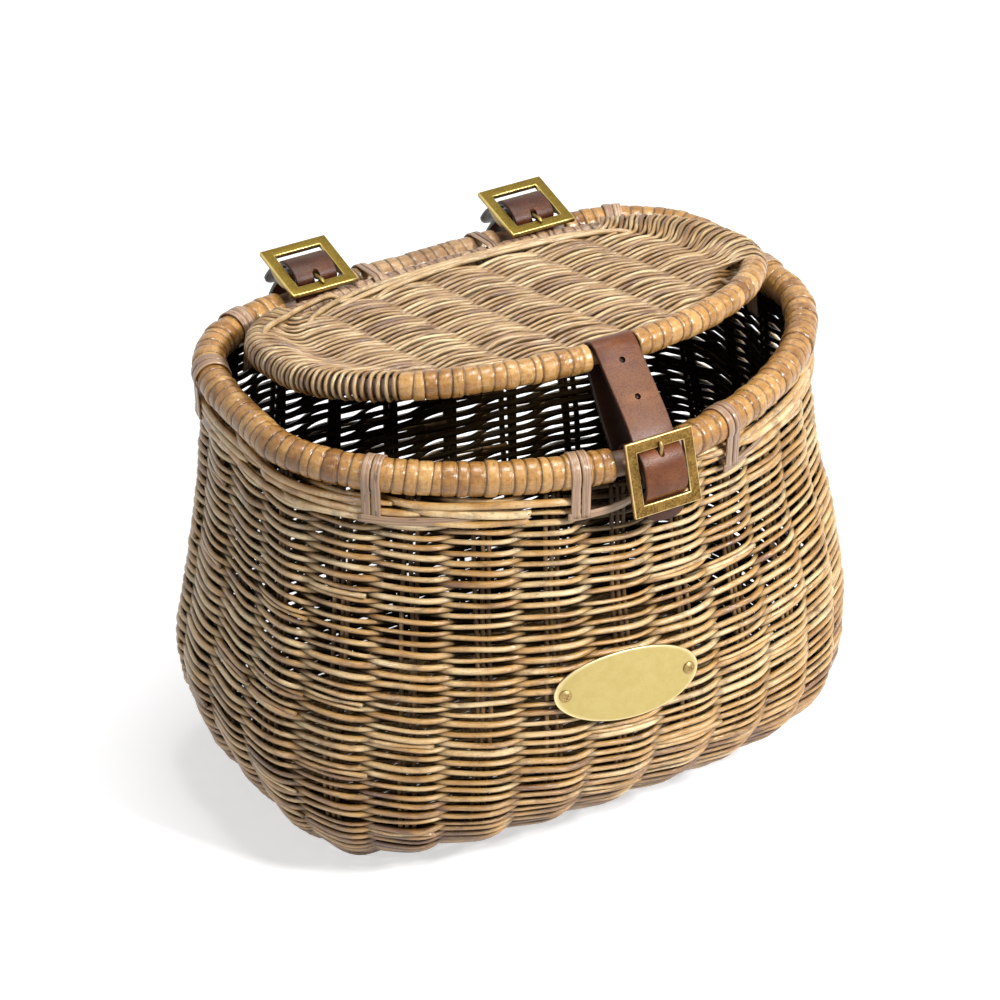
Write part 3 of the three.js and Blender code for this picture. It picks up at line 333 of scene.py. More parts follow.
def add_rods(heap, path, normal, radius, sides, closed, tone, shade=0.0, inside=0.0, under=0.0,
             lit=0.5, back=0.0):
    """Round rods with marks for the material: tone, shade and place along, around and seed. The side
    turned from the normal is shaded by as much as inside says, from where the normal's cosine falls below
    lit, and on one flank sooner if under is set. Right at the back, the share back of it comes off again."""
    verts, faces = sweep(path, normal, circle(sides), closed, radius)
    lines, stations = path.shape[:2]
    whole = (lines, stations, sides)
    around = np.broadcast_to(np.arange(sides) / sides, whole)
    seed = np.broadcast_to(chance.uniform(0, 50, (lines, 1, 1)), whole)
    along = np.broadcast_to(travelled(path)[..., None], whole)
    grain = np.stack([along, np.abs(around - 0.5), seed], -1).reshape(-1, 3)
    tone = np.broadcast_to(np.broadcast_to(tone, (lines, stations))[..., None], whole)
    shade = np.broadcast_to(shade, (lines, stations))[..., None]
    turned = lit - np.cos(TURN * around) + under * np.sin(TURN * around)
    shade = np.maximum(shade, inside * smoothstep(turned / 1.2))
    shade = shade * (1 - back * smoothstep((-np.cos(TURN * around) - 0.35) / 0.5))
    heap.add(verts, faces, grain=grain, tone=tone.ravel(), shade=shade.ravel())


# Outlines.
def d_outline(half_width, front, back, front_power, back_power, split_y, count):
    """Evenly spaced points of a D from the front middle towards +X: two superellipse halves."""
    angle = np.linspace(0, TURN, 2881) - math.pi / 2
    c, s = np.cos(angle), np.sin(angle)
    depth = np.where(s < 0, front, back)
    power = np.where(s < 0, front_power, back_power)
    x = np.sign(c) * half_width * np.abs(c) ** (2 / power)
    y = split_y + np.sign(s) * depth * np.abs(s) ** (2 / power)
    reach = travelled(np.stack([x, y], -1))
    goal = np.arange(count) / count * reach[-1]
    return np.stack([np.interp(goal, reach, x), np.interp(goal, reach, y)], -1), reach[-1]


def d_reach(y, half_width, front, back, front_power, back_power, split_y):
    """Half width of a D at a depth y."""
    depth = np.where(y < split_y, front, back)
    power = np.where(y < split_y, front_power, back_power)
    return half_width * quarter((y - split_y) / depth, power)


def d_ribs(x, half_width, front, back, front_power, back_power, split_y, run, z):
    """Straight ribs along Y at each x, from the front of a D to its back, with a point at each share run."""
    low = split_y - front * quarter(x / half_width, front_power)
    high = split_y + back * quarter(x / half_width, back_power)
    line = low[:, None] * (1 - run) + high[:, None] * run
    return np.stack([np.broadcast_to(x[:, None], line.shape), line, np.full(line.shape, z)], -1)


class Rail:
    """A closed plan curve addressed by its share of the way round from the front middle."""

    def __init__(self, *shape, count=1440):
        """Stores the points of a D and the outward direction at each."""
        self.points, self.length = d_outline(*shape, count)
        ahead = unit(np.roll(self.points, -1, 0) - np.roll(self.points, 1, 0))
        self.normals = np.stack([ahead[:, 1], -ahead[:, 0]], -1)
        self.count = count

    def at(self, share):
        """Place and outward direction, by straight interpolation between the stored points."""
        spot = np.mod(share, 1) * self.count
        low = np.floor(spot).astype(int)
        part = (spot - low)[..., None]
        a, b = low % self.count, (low + 1) % self.count
        return (self.points[a] * (1 - part) + self.points[b] * part,
                unit(self.normals[a] * (1 - part) + self.normals[b] * part))

    def share_at_x(self, x, back):
        """Share at which the front or back half passes a given x."""
        spots = np.arange(self.count)
        half = spots[(spots > self.count // 4) & (spots < 3 * self.count // 4)]
        if not back:
            half = np.concatenate([spots[spots >= 3 * self.count // 4],
                                   spots[spots <= self.count // 4] + self.count])
        xs = self.points[half % self.count, 0]
        order = np.argsort(xs)
        return float(np.interp(x, xs[order], half[order])) / self.count


rim_rail = Rail(RIM_HALF_WIDTH, RIM_FRONT_DEPTH, RIM_BACK_DEPTH, RIM_FRONT_POWER, RIM_BACK_POWER, SPLIT_Y)
LID_SHAPE = (LID_HALF_WIDTH, LID_FRONT_DEPTH, LID_BACK_DEPTH, LID_FRONT_POWER, LID_BACK_POWER,
             -LID_BACK_DEPTH)
lid_rail = Rail(*LID_SHAPE)


def wall_sizes(z):
    """Half width, front depth, back depth and front power at a height: cubic pieces through the
    stations, with slopes from the neighbours."""
    zs = WALL_STATIONS[:, 0]
    i = np.clip(np.searchsorted(zs, z) - 1, 0, len(zs) - 2)
    before = np.maximum(np.arange(len(zs)) - 1, 0)
    after = np.minimum(np.arange(len(zs)) + 1, len(zs) - 1)
    slope = (WALL_STATIONS[after, 1:] - WALL_STATIONS[before, 1:]) / (zs[after] - zs[before])[:, None]
    gap = zs[i + 1] - zs[i]
    t = (z - zs[i]) / gap
    return cubic(WALL_STATIONS[i, 1:], slope[i] * gap, WALL_STATIONS[i + 1, 1:], slope[i + 1] * gap, t)


class WallSurface:
    """The middle of the woven wall as a function of share round and height."""

    def __init__(self, inset, levels=100, count=COLUMNS * 20):
        """Stores rings of points at even heights and the wall's normal at each."""
        rings = []
        for z in np.linspace(0, WALL_TOP, levels):
            half, front, back, power = wall_sizes(z)
            shape = (half - inset, front - inset, back - inset, power, RIM_BACK_POWER, SPLIT_Y)
            plan, _ = d_outline(*shape, count)
            rings.append(np.concatenate([plan, np.full((count, 1), z)], 1))
        self.grid = np.array(rings)
        round_step = np.roll(self.grid, -1, 1) - np.roll(self.grid, 1, 1)
        up_step = np.gradient(self.grid, axis=0)
        self.normal = unit(np.cross(round_step, up_step))
        self.levels, self.count = levels, count

    def pick(self, table, share, z):
        """A table's value at a share and height, straight between its rows and columns."""
        row = np.clip(z / WALL_TOP, 0, 1) * (self.levels - 1)
        i = np.clip(np.floor(row).astype(int), 0, self.levels - 2)
        a = (row - i)[..., None]
        col = np.mod(share, 1) * self.count
        j = np.floor(col).astype(int)
        b = (col - j)[..., None]
        j, k = j % self.count, (j + 1) % self.count
        low = table[i, j] * (1 - b) + table[i, k] * b
        high = table[i + 1, j] * (1 - b) + table[i + 1, k] * b
        return low * (1 - a) + high * a

    def at(self, share, z, out=0.0):
        """Place moved out along the wall's normal, and the normal."""
        share, z = np.broadcast_arrays(np.asarray(share, float), np.asarray(z, float))
        normal = unit(self.pick(self.normal, share, z))
        return self.pick(self.grid, share, z) + np.asarray(out)[..., None] * normal, normal


wall = WallSurface(WALL_THICKNESS / 2)
wall_slope = np.linalg.norm(np.diff(wall.grid, axis=0), axis=-1).mean(1)
wall_slope = np.concatenate([[0], np.cumsum(wall_slope)])


def row_height(row):
    """Height of a row of weaving: rows lie evenly along the wall's slope, measured up it and averaged
    all the way round."""
    return np.interp(row / ROWS * wall_slope[-1], wall_slope, np.linspace(0, WALL_TOP, wall.levels))


# Materials.
def rgb(code):
    """Linear colour from a hexadecimal screen colour."""
    parts = [int(code[i:i + 2], 16) / 255 for i in (0, 2, 4)]
    return tuple(c / 12.92 if c <= 0.04045 else ((c + 0.055) / 1.055) ** 2.4 for c in parts) + (1.0,)


class Finish:
    """A node material built step by step around one Principled shader."""

    def __init__(self, name):
        """A new material with its Principled shader."""
        self.material = bpy.data.materials.new(name)
        self.material.use_nodes = True
        self.tree = self.material.node_tree
        self.shader = next(n for n in self.tree.nodes if n.type == "BSDF_PRINCIPLED")

    def add(self, kind, **settings):
        """A new node with its settings."""
        made = self.tree.nodes.new(kind)
        for key, value in settings.items():
            setattr(made, key, value)
        return made

    def link(self, source, target):
        """Joins an output to an input."""
        self.tree.links.new(source, target)

    def feed(self, socket, value):
        """Gives an input a link or a fixed value."""
        if hasattr(value, "is_output"):
            self.link(value, socket)
        else:
            socket.default_value = value

    def math(self, operation, a, b=0.0, clamp=False):
        """One operation on two values."""
        made = self.add("ShaderNodeMath", operation=operation, use_clamp=clamp)
        self.feed(made.inputs[0], a)
        self.feed(made.inputs[1], b)
        return made.outputs[0]

    def weigh(self, *pairs):
        """Sum of values, each times its weight."""
        parts = [self.math("MULTIPLY", value, weight) for value, weight in pairs]
        total = parts[0]
        for part in parts[1:]:
            total = self.math("ADD", total, part)
        return total

    def mark(self, name, output="Fac"):
        """A mark that the piece's points carry."""
        return self.add("ShaderNodeAttribute", attribute_name=name).outputs[output]

    def place(self, scale, source=None):
        """Coordinates stretched by a scale along each axis."""
        mapping = self.add("ShaderNodeMapping")
        self.feed(mapping.inputs["Vector"], source or self.add("ShaderNodeTexCoord").outputs["Object"])
        mapping.inputs["Scale"].default_value = scale
        return mapping.outputs[0]

    def noise(self, vector, scale, detail=3.0, rough=0.55):
        """Cloudy noise between zero and one."""
        made = self.add("ShaderNodeTexNoise")
        self.feed(made.inputs["Vector"], vector)
        made.inputs["Scale"].default_value = scale
        made.inputs["Detail"].default_value = detail
        made.inputs["Roughness"].default_value = rough
        return made.outputs["Fac"]

    def ramp(self, value, stops):
        """Colours at stops along a value, blended between."""
        made = self.add("ShaderNodeValToRGB")
        self.feed(made.inputs[0], value)
        while len(made.color_ramp.elements) < len(stops):
            made.color_ramp.elements.new(0.5)
        for element, (spot, colour) in zip(made.color_ramp.elements, stops):
            element.position = spot
            element.color = colour
        return made.outputs[0]

    def spread(self, value, low, high):
        """A value stretched so that low becomes zero and high one."""
        made = self.add("ShaderNodeMapRange")
        self.feed(made.inputs["Value"], value)
        made.inputs["From Min"].default_value = low
        made.inputs["From Max"].default_value = high
        return made.outputs[0]

    def mix(self, share, a, b):
        """Colour a with a share of b."""
        made = self.add("ShaderNodeMix", data_type="RGBA")
        self.feed(made.inputs[0], share)
        self.feed(made.inputs[6], a)
        self.feed(made.inputs[7], b)
        return made.outputs[2]

    def bump(self, height, strength, distance):
        """Fine relief from a height."""
        made = self.add("ShaderNodeBump")
        made.inputs["Strength"].default_value = strength
        made.inputs["Distance"].default_value = distance
        self.feed(made.inputs["Height"], height)
        self.link(made.outputs[0], self.shader.inputs["Normal"])

    def finish(self, colour, roughness, metallic=0.0, specular=0.5):
        """Sets the shader and gives the material."""
        self.feed(self.shader.inputs["Base Color"], colour)
        self.feed(self.shader.inputs["Roughness"], roughness)
        self.shader.inputs["Metallic"].default_value = metallic
        if specular is not None:
            self.shader.inputs["Specular IOR Level"].default_value = specular
        return self.material


def rod_finish(name, dark, middle, pale, speck, gloss):
    """Peeled willow: fibre streaks along the rod, a tone for each rod, brown stains and specks, and a
    near-black shade where rods lie behind others."""
    dark, middle, pale, speck = map(rgb, (dark, middle, pale, speck))
    f = Finish(name)
    grain = f.mark("grain", "Vector")
    streak = f.spread(f.noise(f.place((26, 9, 1), grain), 6.0, 4.0, 0.6), 0.3, 0.7)
    blot = f.spread(f.noise(f.place((45, 2, 1), grain), 1.0, 2.0), 0.35, 0.65)
    tone = f.weigh((f.mark("tone"), 0.55), (streak, 0.27), (blot, 0.18))
    colour = f.ramp(tone, [(0.16, dark), (0.46, middle), (0.8, pale)])
    stain = f.spread(f.noise(f.place((70, 1.5, 1), grain), 1.0, 4.0, 0.65), 0.52, 0.68)
    colour = f.mix(f.math("MULTIPLY", stain, 0.6), colour, speck)
    specks = f.spread(f.noise(f.place((160, 12, 1), grain), 3.0, 5.0, 0.7), 0.57, 0.66)
    colour = f.mix(f.math("MULTIPLY", specks, 0.7), colour, speck)
    colour = f.mix(f.mark("shade"), colour, rgb("0b0603"))
    rough = f.math("ADD", f.math("MULTIPLY", streak, 0.18), gloss - 0.09)
    f.bump(f.math("ADD", streak, f.math("MULTIPLY", specks, -0.6)), 0.3, 0.0004)
    f.link(f.math("SUBTRACT", 1.0, f.mark("shade")), f.shader.inputs["Specular IOR Level"])
    return f.finish(colour, rough, specular=None)


def cane_finish(name, dark, middle, pale, speck, gloss):
    """Split cane: glossy bark with streaks along each turn, painted shade in the seams and at its ends, and a
    tone for each turn.
    """
    dark, middle, pale, speck = map(rgb, (dark, middle, pale, speck))
    f = Finish(name)
    grain = f.mark("grain", "Vector")
    streak = f.spread(f.noise(f.place((420, 5, 1), grain), 1.0, 4.0, 0.6), 0.3, 0.7)
    cloud = f.spread(f.noise(f.place((70, 3, 1), grain), 1.0, 3.0), 0.32, 0.68)
    tone = f.weigh((f.mark("tone"), 0.5), (streak, 0.25), (cloud, 0.25))
    colour = f.ramp(tone, [(0.2, dark), (0.5, middle), (0.8, pale)])
    specks = f.spread(f.noise(f.place((240, 14, 1), grain), 2.0, 5.0, 0.75), 0.58, 0.66)
    colour = f.mix(f.math("MULTIPLY", specks, 0.75), colour, speck)
    scrape = f.spread(f.noise(f.place((900, 1.5, 1), grain), 1.0, 2.0), 0.66, 0.72)
    colour = f.mix(f.math("MULTIPLY", scrape, 0.6), colour, speck)
    colour = f.mix(f.mark("shade"), colour, rgb("140a03"))
    rough = f.math("ADD", f.math("MULTIPLY", cloud, 0.2), gloss - 0.1)
    f.bump(f.math("SUBTRACT", f.math("ADD", streak, cloud), specks), 0.3, 0.0003)
    return f.finish(colour, rough, specular=0.55)


def leather_finish(name, dark, middle, pale, dusty, gloss):
    """Oiled strap leather: fine pores, worn lighter patches, dusty where rubbed, burnished dark edges, and
    painted shade where a strap lies in shadow.
    """
    dark, middle, pale, dusty = map(rgb, (dark, middle, pale, dusty))
    f = Finish(name)
    spot = f.place((1, 1, 1))
    pore = f.add("ShaderNodeTexVoronoi", feature="F1")
    f.link(spot, pore.inputs["Vector"])
    pore.inputs["Scale"].default_value = 1500
    worn = f.noise(spot, 70.0, 5.0, 0.65)
    fine = f.noise(spot, 1100.0, 4.0, 0.7)
    tone = f.weigh((worn, 0.52), (fine, 0.48))
    colour = f.ramp(tone, [(0.34, dark), (0.5, middle), (0.66, pale)])
    rubbed = f.math("MULTIPLY", f.mark("dust"), f.spread(fine, 0.36, 0.62))
    colour = f.mix(f.math("MULTIPLY", rubbed, 0.8), colour, dusty)
    colour = f.mix(f.mark("shade"), colour, rgb("120703"))
    rough = f.math("ADD", f.weigh((fine, 0.3), (f.mark("dust"), 0.2)), gloss - 0.15)
    f.bump(f.math("ADD", fine, f.math("MULTIPLY", pore.outputs["Distance"], 0.6)), 0.42, 0.0003)
    return f.finish(colour, rough, specular=0.3)


def brass_finish(name, dull, bright, tarnish, rough_low, rough_high, fineness=900.0):
    """Brass with tarnish in patches and edges rubbed bright."""
    dull, bright, tarnish = map(rgb, (dull, bright, tarnish))
    f = Finish(name)
    spot = f.place((1, 1, 1))
    cloud = f.noise(spot, 160.0, 6.0, 0.7)
    fine = f.noise(spot, fineness, 3.0, 0.6)
    patch = f.spread(f.weigh((cloud, 0.45), (fine, 0.55)), 0.62, 0.40)
    colour = f.mix(patch, dull, tarnish)
    edge = f.math("MULTIPLY", f.mark("edge"), f.math("ADD", cloud, 0.45), clamp=True)
    colour = f.mix(edge, colour, bright)
    rough = f.math("ADD", f.math("MULTIPLY", patch, rough_high - rough_low), rough_low)
    f.bump(fine, 0.08, 0.0002)
    return f.finish(colour, rough, metallic=1.0)


WALL_ROD = rod_finish("wall_rod", "74451a", "cc994f", "f5d9a4", "5a2d0a", 0.17)
STAKE_ROD = rod_finish("stake_rod", "6a4520", "a87d4a", "cfa66d", "40240c", 0.4)
LID_ROD = rod_finish("lid_rod", "754d22", "a67d45", "dcbf8c", "5e3310", 0.2)
CORE_ROD = rod_finish("core_rod", "4a2f18", "6d4a28", "8a6238", "2c1808", 0.55)
CANE_GOLD = cane_finish("cane_gold", "7c4f20", "ac7c40", "d0a262", "422208", 0.21)
CANE_GREY = cane_finish("cane_grey", "6c4f3b", "9d7c60", "cbab8a", "3f2a20", 0.25)
CANE_WORN = cane_finish("cane_worn", "72502f", "9f7a51", "c7a478", "3f2614", 0.24)
LEATHER_FRONT = leather_finish("leather_front", "4c2110", "6e3a1b", "88532c", "8b623f", 0.33)
LEATHER_REAR = leather_finish("leather_rear", "2e1207", "48210e", "61321b", "7a5844", 0.33)
BRASS_ANTIQUE = brass_finish("brass_antique", "96763f", "e6cb8e", "553f1c", 0.36, 0.5)
BRASS_YELLOW = brass_finish("brass_yellow", "927a34", "dcc57e", "715c22", 0.34, 0.46)
BRASS_PALE = brass_finish("brass_pale", "bba970", "e4d5a4", "b29e62", 0.36, 0.42, 2400.0)


# Wall.
def near_buckle(share, z):
    """How far a place lies in the opening under the front buckle, where the weavers are pulled in and
    painted with shade: one inside it, zero outside.
    """
    aside, half, foot = 0.012, 34 * MM, 205 * MM
    middle = np.abs(np.mod(share + 0.5 + aside, 1) - 0.5) * rim_rail.length
    return smoothstep((half - middle) / (9 * MM)) * smoothstep((z - foot) / (8 * MM))


def along_back(share):
    """One along the flat back of the wall and zero elsewhere, with smooth steps between."""
    return smoothstep((0.27 - np.abs(share - 0.5)) / 0.05)


def weave_wall():
    """Weavers: rod r at share s stands out by swing times w to the power 0.8, w being sin(p - 0.6 sin p)
    with p = pi * columns * s + pi * r. It rises slowly and falls away sharply, outside one group of stakes
    and inside the next, and is shaded where it lies behind."""
    stations = COLUMNS * 9
    row = np.arange(ROWS)[:, None]
    share = np.broadcast_to(np.arange(stations) / stations, (ROWS, stations))
    phase = math.pi * COLUMNS * share + math.pi * row
    wave = np.sin(phase - 0.6 * np.sin(phase))
    bow = np.sign(wave) * np.abs(wave) ** 0.8
    slow = wander(ROWS, stations, (1, 2, 3))
    quick = wander(ROWS, stations, (5, 8, 13, 17, 23))
    z = row_height(row + 0.5) + 0.4 * MM * slow + 0.38 * MM * quick
    z = np.maximum(z, WEAVER_RADIUS * 1.1)
    radius = WEAVER_RADIUS * (0.97 + 0.12 * chance.normal(0, 1, (ROWS, 1)).clip(-1.5, 1.5) + 0.07 * slow)
    radius = radius * (1 - 0.1 * smoothstep(-bow))
    radius = radius * (1 + 0.1 * along_back(share))
    opening = near_buckle(share, z)
    lift = WEAVER_SWING * (1 + 0.12 * wander(ROWS, stations, (4, 7, 11, 19)))
    path, normal = wall.at(share, z, lift * bow - 3.2 * MM * opening * (bow > 0))
    path[..., 2] = np.maximum(path[..., 2], radius + 0.1 * MM)
    tone = 0.55 + 0.1 * chance.normal(0, 1, (ROWS, 1)) + 0.18 * wander(ROWS, stations, (2, 5, 9, 14, 22))
    # Painted shade: the weavers' tone falls towards the bottom of the wall.
    tone = tone - 0.34 * smoothstep((100 * MM - z) / (80 * MM))
    # Painted shade: where a weaver lies behind others, and in the opening under the front buckle.
    shade = np.maximum(smoothstep((0.22 - bow) / 0.5) * 0.97, 0.9 * opening)
    under = (0.8 - 0.52 * smoothstep((90 * MM - z) / (65 * MM)))[..., None]
    middle = ROWS // 2
    for name, part, stands in (("low", slice(0, middle), ["wall_weave"]), ("high", slice(middle, None), [])):
        heap = Heap()
        add_rods(heap, path[part], normal[part], radius[part], 8, True, tone[part].clip(0, 1), shade[part],
                 0.98, under[part], 1.02)
        heap.piece(f"wall_weavers_{name}", WALL_ROD, "basket", "wicker_brown", stands)


def splices():
    """Ends of new rods: each starts inside, comes out beside a weaver and stops in a cut end."""
    count, stations = 64, 16
    row = chance.integers(16, ROWS - 10, count)[:, None]
    column = (2 * chance.integers(0, COLUMNS // 2, count)[:, None] + row % 2) % COLUMNS
    run = np.linspace(0, 1, stations)[None]
    end = chance.uniform(0.86, 1.06, (count, 1))
    share = (column - 0.4 + (end + 0.4) * run) / COLUMNS
    z = row_height(row + 1.42 + 0.12 * run + chance.uniform(-0.12, 0.12, (count, 1)))
    out = (-2.2 + 5.2 * smoothstep(run / 0.62) + 0.4 * run ** 4) * MM
    path, normal = wall.at(share, z, out)
    tone = 0.55 + 0.18 * chance.normal(0, 1, (count, 1))
    shade = 0.85 * smoothstep((0.42 - run) / 0.3) + 0.45 * (run > 0.995)
    radius = (1.15 + 0.2 * chance.uniform(-1, 1, (count, 1))) * MM
    heap = Heap()
    add_rods(heap, path, normal, radius, 7, False, tone.clip(0, 1), shade, 0.9, 0.4)
    heap.piece("wall_splices", WALL_ROD, "basket", "wicker_brown")


def wall_stakes():
    """Three upright stakes in the middle of each column, from the base up into the rim, painted with shade
    between the weavers but for a few spots left bright as painted glints."""
    levels, stakes = 34, 3 * COLUMNS
    middle = (np.arange(COLUMNS) + 0.5) / COLUMNS
    spread = STAKE_SPREAD / rim_rail.length
    share = np.concatenate([middle - spread, middle, middle + spread])[:, None]
    z = np.linspace(2 * MM, WALL_TOP, levels)[None]
    sway = 0.0009 * wander(stakes, levels, (0.7, 1.3, 2.1), closed=False)
    path, normal = wall.at(share + sway, np.broadcast_to(z, (stakes, levels)), 0.3 * MM)
    tone = 0.6 + 0.2 * chance.normal(0, 1, (stakes, 1))
    radius = STAKE_RADIUS * (1 + 0.36 * along_back(share))
    heap = Heap()
    # Painted shade on the stakes, left off at a few painted glints.
    glint = np.sin(97 * z / WALL_TOP + 2.4 * np.arange(stakes)[:, None])
    shade = 0.84 - 0.5 * smoothstep((glint - 0.75) / 0.2)
    add_rods(heap, path, normal, radius, 7, False, tone.clip(0, 1), shade, 0.96)
    heap.piece("wall_stakes", STAKE_ROD, "basket", "wicker_brown")


def wale_rods():
    """Thick rods laid along the outside below the rim in overlapping lengths: each starts tucked in
    behind the one before, stands out along its middle and falls a little to a cut end."""
    stations = 44
    heap = Heap()
    for level, (height, count) in enumerate(((233.4, 8), (228.5, 9), (223.5, 11))):
        start = 0.045 + (np.arange(count) + chance.uniform(-0.22, 0.22, count)) / count * 0.91
        start = start[:, None]
        length = (0.91 / count) * chance.uniform(1.02, 1.16, (count, 1))
        run = np.linspace(0, 1, stations)[None]
        share = np.minimum(start + length * run, 0.925 + 0.03 * chance.uniform(0, 1, (count, 1)))
        drop = 1.9 * (run - 0.35) + 0.6 * np.sin(TURN * (run * 1.3 + chance.uniform(0, 1, (count, 1))))
        z = (height - drop) * MM
        out = (0.6 + 4.0 * smoothstep(run / 0.16) + 0.5 * np.sin(math.pi * run) - 0.3 * level * run) * MM
        path, normal = wall.at(share, z, out)
        taper = 1 - 0.3 * smoothstep((0.12 - run) / 0.12) - 0.42 * smoothstep((run - 0.9) / 0.1)
        radius = (2.1 + 0.2 * chance.normal(0, 1, (count, 1)).clip(-1, 1)) * taper * MM
        tone = 0.58 + 0.14 * chance.normal(0, 1, (count, 1))
        tone = tone + 0.14 * wander(count, stations, (2, 4, 7), closed=False)
        shade = 0.6 * smoothstep((0.1 - run) / 0.1) + 0.5 * (run > 0.995)
        add_rods(heap, path, normal, radius, 9, False, tone.clip(0, 1), shade, 0.96, 0.5)
    heap.piece("wale_rods", WALL_ROD, "basket", "wicker_brown")


def woven_floor():
    """Base: rods along X in a plain weave over pairs of ribs, each cut where the inside of the wall meets
    it, and two rings of rod laid along that edge."""
    half, front, back, power = wall_sizes(4 * MM)
    inset = WALL_THICKNESS - 3.5 * MM
    y = np.arange(SPLIT_Y - front + inset + 2 * MM, SPLIT_Y + back - inset - 2 * MM, BASE_PITCH)
    shape = (half - inset, front - inset, back - inset, power, RIM_BACK_POWER, SPLIT_Y)
    stations = 72
    x = d_reach(y, *shape)[:, None] * np.linspace(-1, 1, stations)[None]
    turn = np.arange(len(y))[:, None]
    wave = np.sin(math.pi * x / BASE_RIB_SPACING + math.pi * turn)
    z = BASE_MIDDLE + BASE_SWING * wave
    path = np.stack([x, np.broadcast_to(y[:, None], x.shape), z], -1)
    tone = 0.48 + 0.15 * chance.normal(0, 1, (len(y), 1))
    heap = Heap()
    shade = 0.5 * smoothstep(0.3 + 0.7 * wave)
    add_rods(heap, path, -UP, BASE_ROD_RADIUS, 8, False, tone.clip(0, 1), shade, 0.75)
    ribs = (np.arange(-5, 5) + 0.5) * BASE_RIB_SPACING
    ribs = np.concatenate([ribs - 2 * MM, ribs + 2 * MM])
    rib = d_ribs(ribs, *shape, np.linspace(0, 1, 12), BASE_MIDDLE)
    add_rods(heap, rib, -UP, BASE_RIB_RADIUS, 6, False, 0.4, 0.2, 0.8)
    rim = np.broadcast_to(np.arange(180) / 180, (2, 180))
    ring, _ = wall.at(rim, np.array([[3.0], [4.6]]) * MM, np.array([[-3.4], [-6.6]]) * MM)
    ring[..., 2] = np.array([[3 * MM], [BASE_MIDDLE]])
    add_rods(heap, ring, -UP, BASE_RING_RADIUS, 8, True, 0.45, 0.1, 0.8)
    heap.piece("floor_weave", WALL_ROD, "basket", "wicker_brown", ["base_panel"])


# Rods and their cane binding.
def bend_up(plan, z):
    """Plan points raised to a height."""
    return np.concatenate([plan, np.broadcast_to(np.asarray(z, float), plan.shape[:-1])[..., None]], -1)


def lid_place(points):
    """Points of the lid's own flat frame turned about its hinge."""
    c, s = math.cos(LID_TILT), math.sin(LID_TILT)
    x, y, z = points[..., 0], points[..., 1], points[..., 2]
    return np.stack([x, HINGE_Y + c * y + s * z, HINGE_Z - s * y + c * z], -1)


def lid_turn(vectors):
    """Directions of the lid's own frame turned with the lid."""
    c, s = math.cos(LID_TILT), math.sin(LID_TILT)
    x, y, z = vectors[..., 0], vectors[..., 1], vectors[..., 2]
    return np.stack([x, c * y + s * z, -s * y + c * z], -1)


def bare_hoop(name, rail, radius, z, place, body, node, slot):
    """A round rod all the way round a rail."""
    share = np.arange(200)[None] / 200
    plan, _ = rail.at(share)
    heap = Heap()
    add_rods(heap, place(bend_up(plan, z)), UP, radius, 14, True, 0.5)
    heap.piece(name, CORE_ROD, body, slot, [node])


def bind(heap, rail, start, end, rod_radius, radius, z, place, ragged=0.35, pitch=WRAP_PITCH):
    """Cane wound round a rod: turn k lies between seams k and k + 1. Each seam leans round the rod as
    sway * cos(angle - phase), by its own sway and phase on top of a lean that all share, and the radius
    drops into a groove at each seam."""
    length = (end - start) * rail.length
    turns = max(2, int(round(length / pitch)))
    step = np.array([0.0, 0.05, 0.13, 0.3, 0.5, 0.7, 0.87, 0.95])
    sides = 20
    angle = TURN * np.arange(sides) / sides
    seam = np.arange(turns + 1) + chance.uniform(-0.2, 0.2, turns + 1)
    seam[0], seam[-1] = 0, turns
    sway = ragged * 0.18 * chance.normal(0, 1, (turns + 1, 1))
    phase = chance.uniform(0, TURN, (turns + 1, 1))
    lean = 0.16 * np.cos(angle - 0.9) + sway * np.cos(angle - phase)
    lean[0] = lean[-1] = 0
    edges = seam[:, None] + lean
    part = step[None, :, None]
    rings = (edges[:-1, None] * (1 - part) + edges[1:, None] * part).reshape(-1, sides)
    rings = np.concatenate([rings, edges[-1:]])
    crown = 1 - np.abs(2 * step - 1) ** 7
    drop = np.append(np.tile(crown, turns), 0)
    swell = np.append(np.repeat(chance.normal(0, 0.22 * MM, turns), len(step)), 0)
    out = radius - SEAM_DEPTH * (1 - drop) + swell * drop
    share = start + rings / turns * (end - start)
    plan, normal = rail.at(share)
    cos, sin = np.cos(angle), np.sin(angle)
    verts = np.concatenate([plan + normal * (out[:, None] * cos)[..., None],
                            (z + out[:, None] * sin)[..., None]], -1)
    first, last = verts[:1].copy(), verts[-1:].copy()
    for ring, spot in ((first, start), (last, end)):
        plan, normal = rail.at(np.full((1, sides), spot))
        ring[..., :2] = plan + normal * (rod_radius * cos)[None, :, None]
        ring[..., 2] = z + rod_radius * sin
    verts = np.concatenate([first, verts, last])[None]
    rows = np.arange(verts[..., 0].size).reshape(verts.shape[:3])
    tone = np.append(np.repeat(0.5 + 0.17 * chance.normal(0, 1, turns), len(step)), 0.5)
    tone = np.concatenate([[0.4], tone, [0.4]]).clip(0, 1)
    # Painted shade: near-black in the groove at each seam and where the cane meets the bare rod.
    dark = np.array([0.97, 0.55, 0.1, 0, 0, 0, 0.1, 0.55]) * chance.uniform(0.5, 1.0, (turns, 1))
    dark = np.concatenate([[0.9], dark.ravel(), [0.6, 0.9]])
    around = np.concatenate([rings[:1], rings, rings[-1:]])
    grain = np.stack([around * pitch, np.broadcast_to(np.abs(angle / TURN - 0.5) * 4, around.shape),
                      np.floor(np.clip(around, 0, turns - 1e-6)) * 3.7], -1)
    tone, dark = (np.broadcast_to(level[:, None], around.shape).ravel() for level in (tone, dark))
    heap.add(place(verts), [skin(rows, True, False, False)[0][:, ::-1]], grain=grain.reshape(-1, 3),
             tone=tone, shade=dark)


def same(points):
    """Leaves points where they are."""
    return points


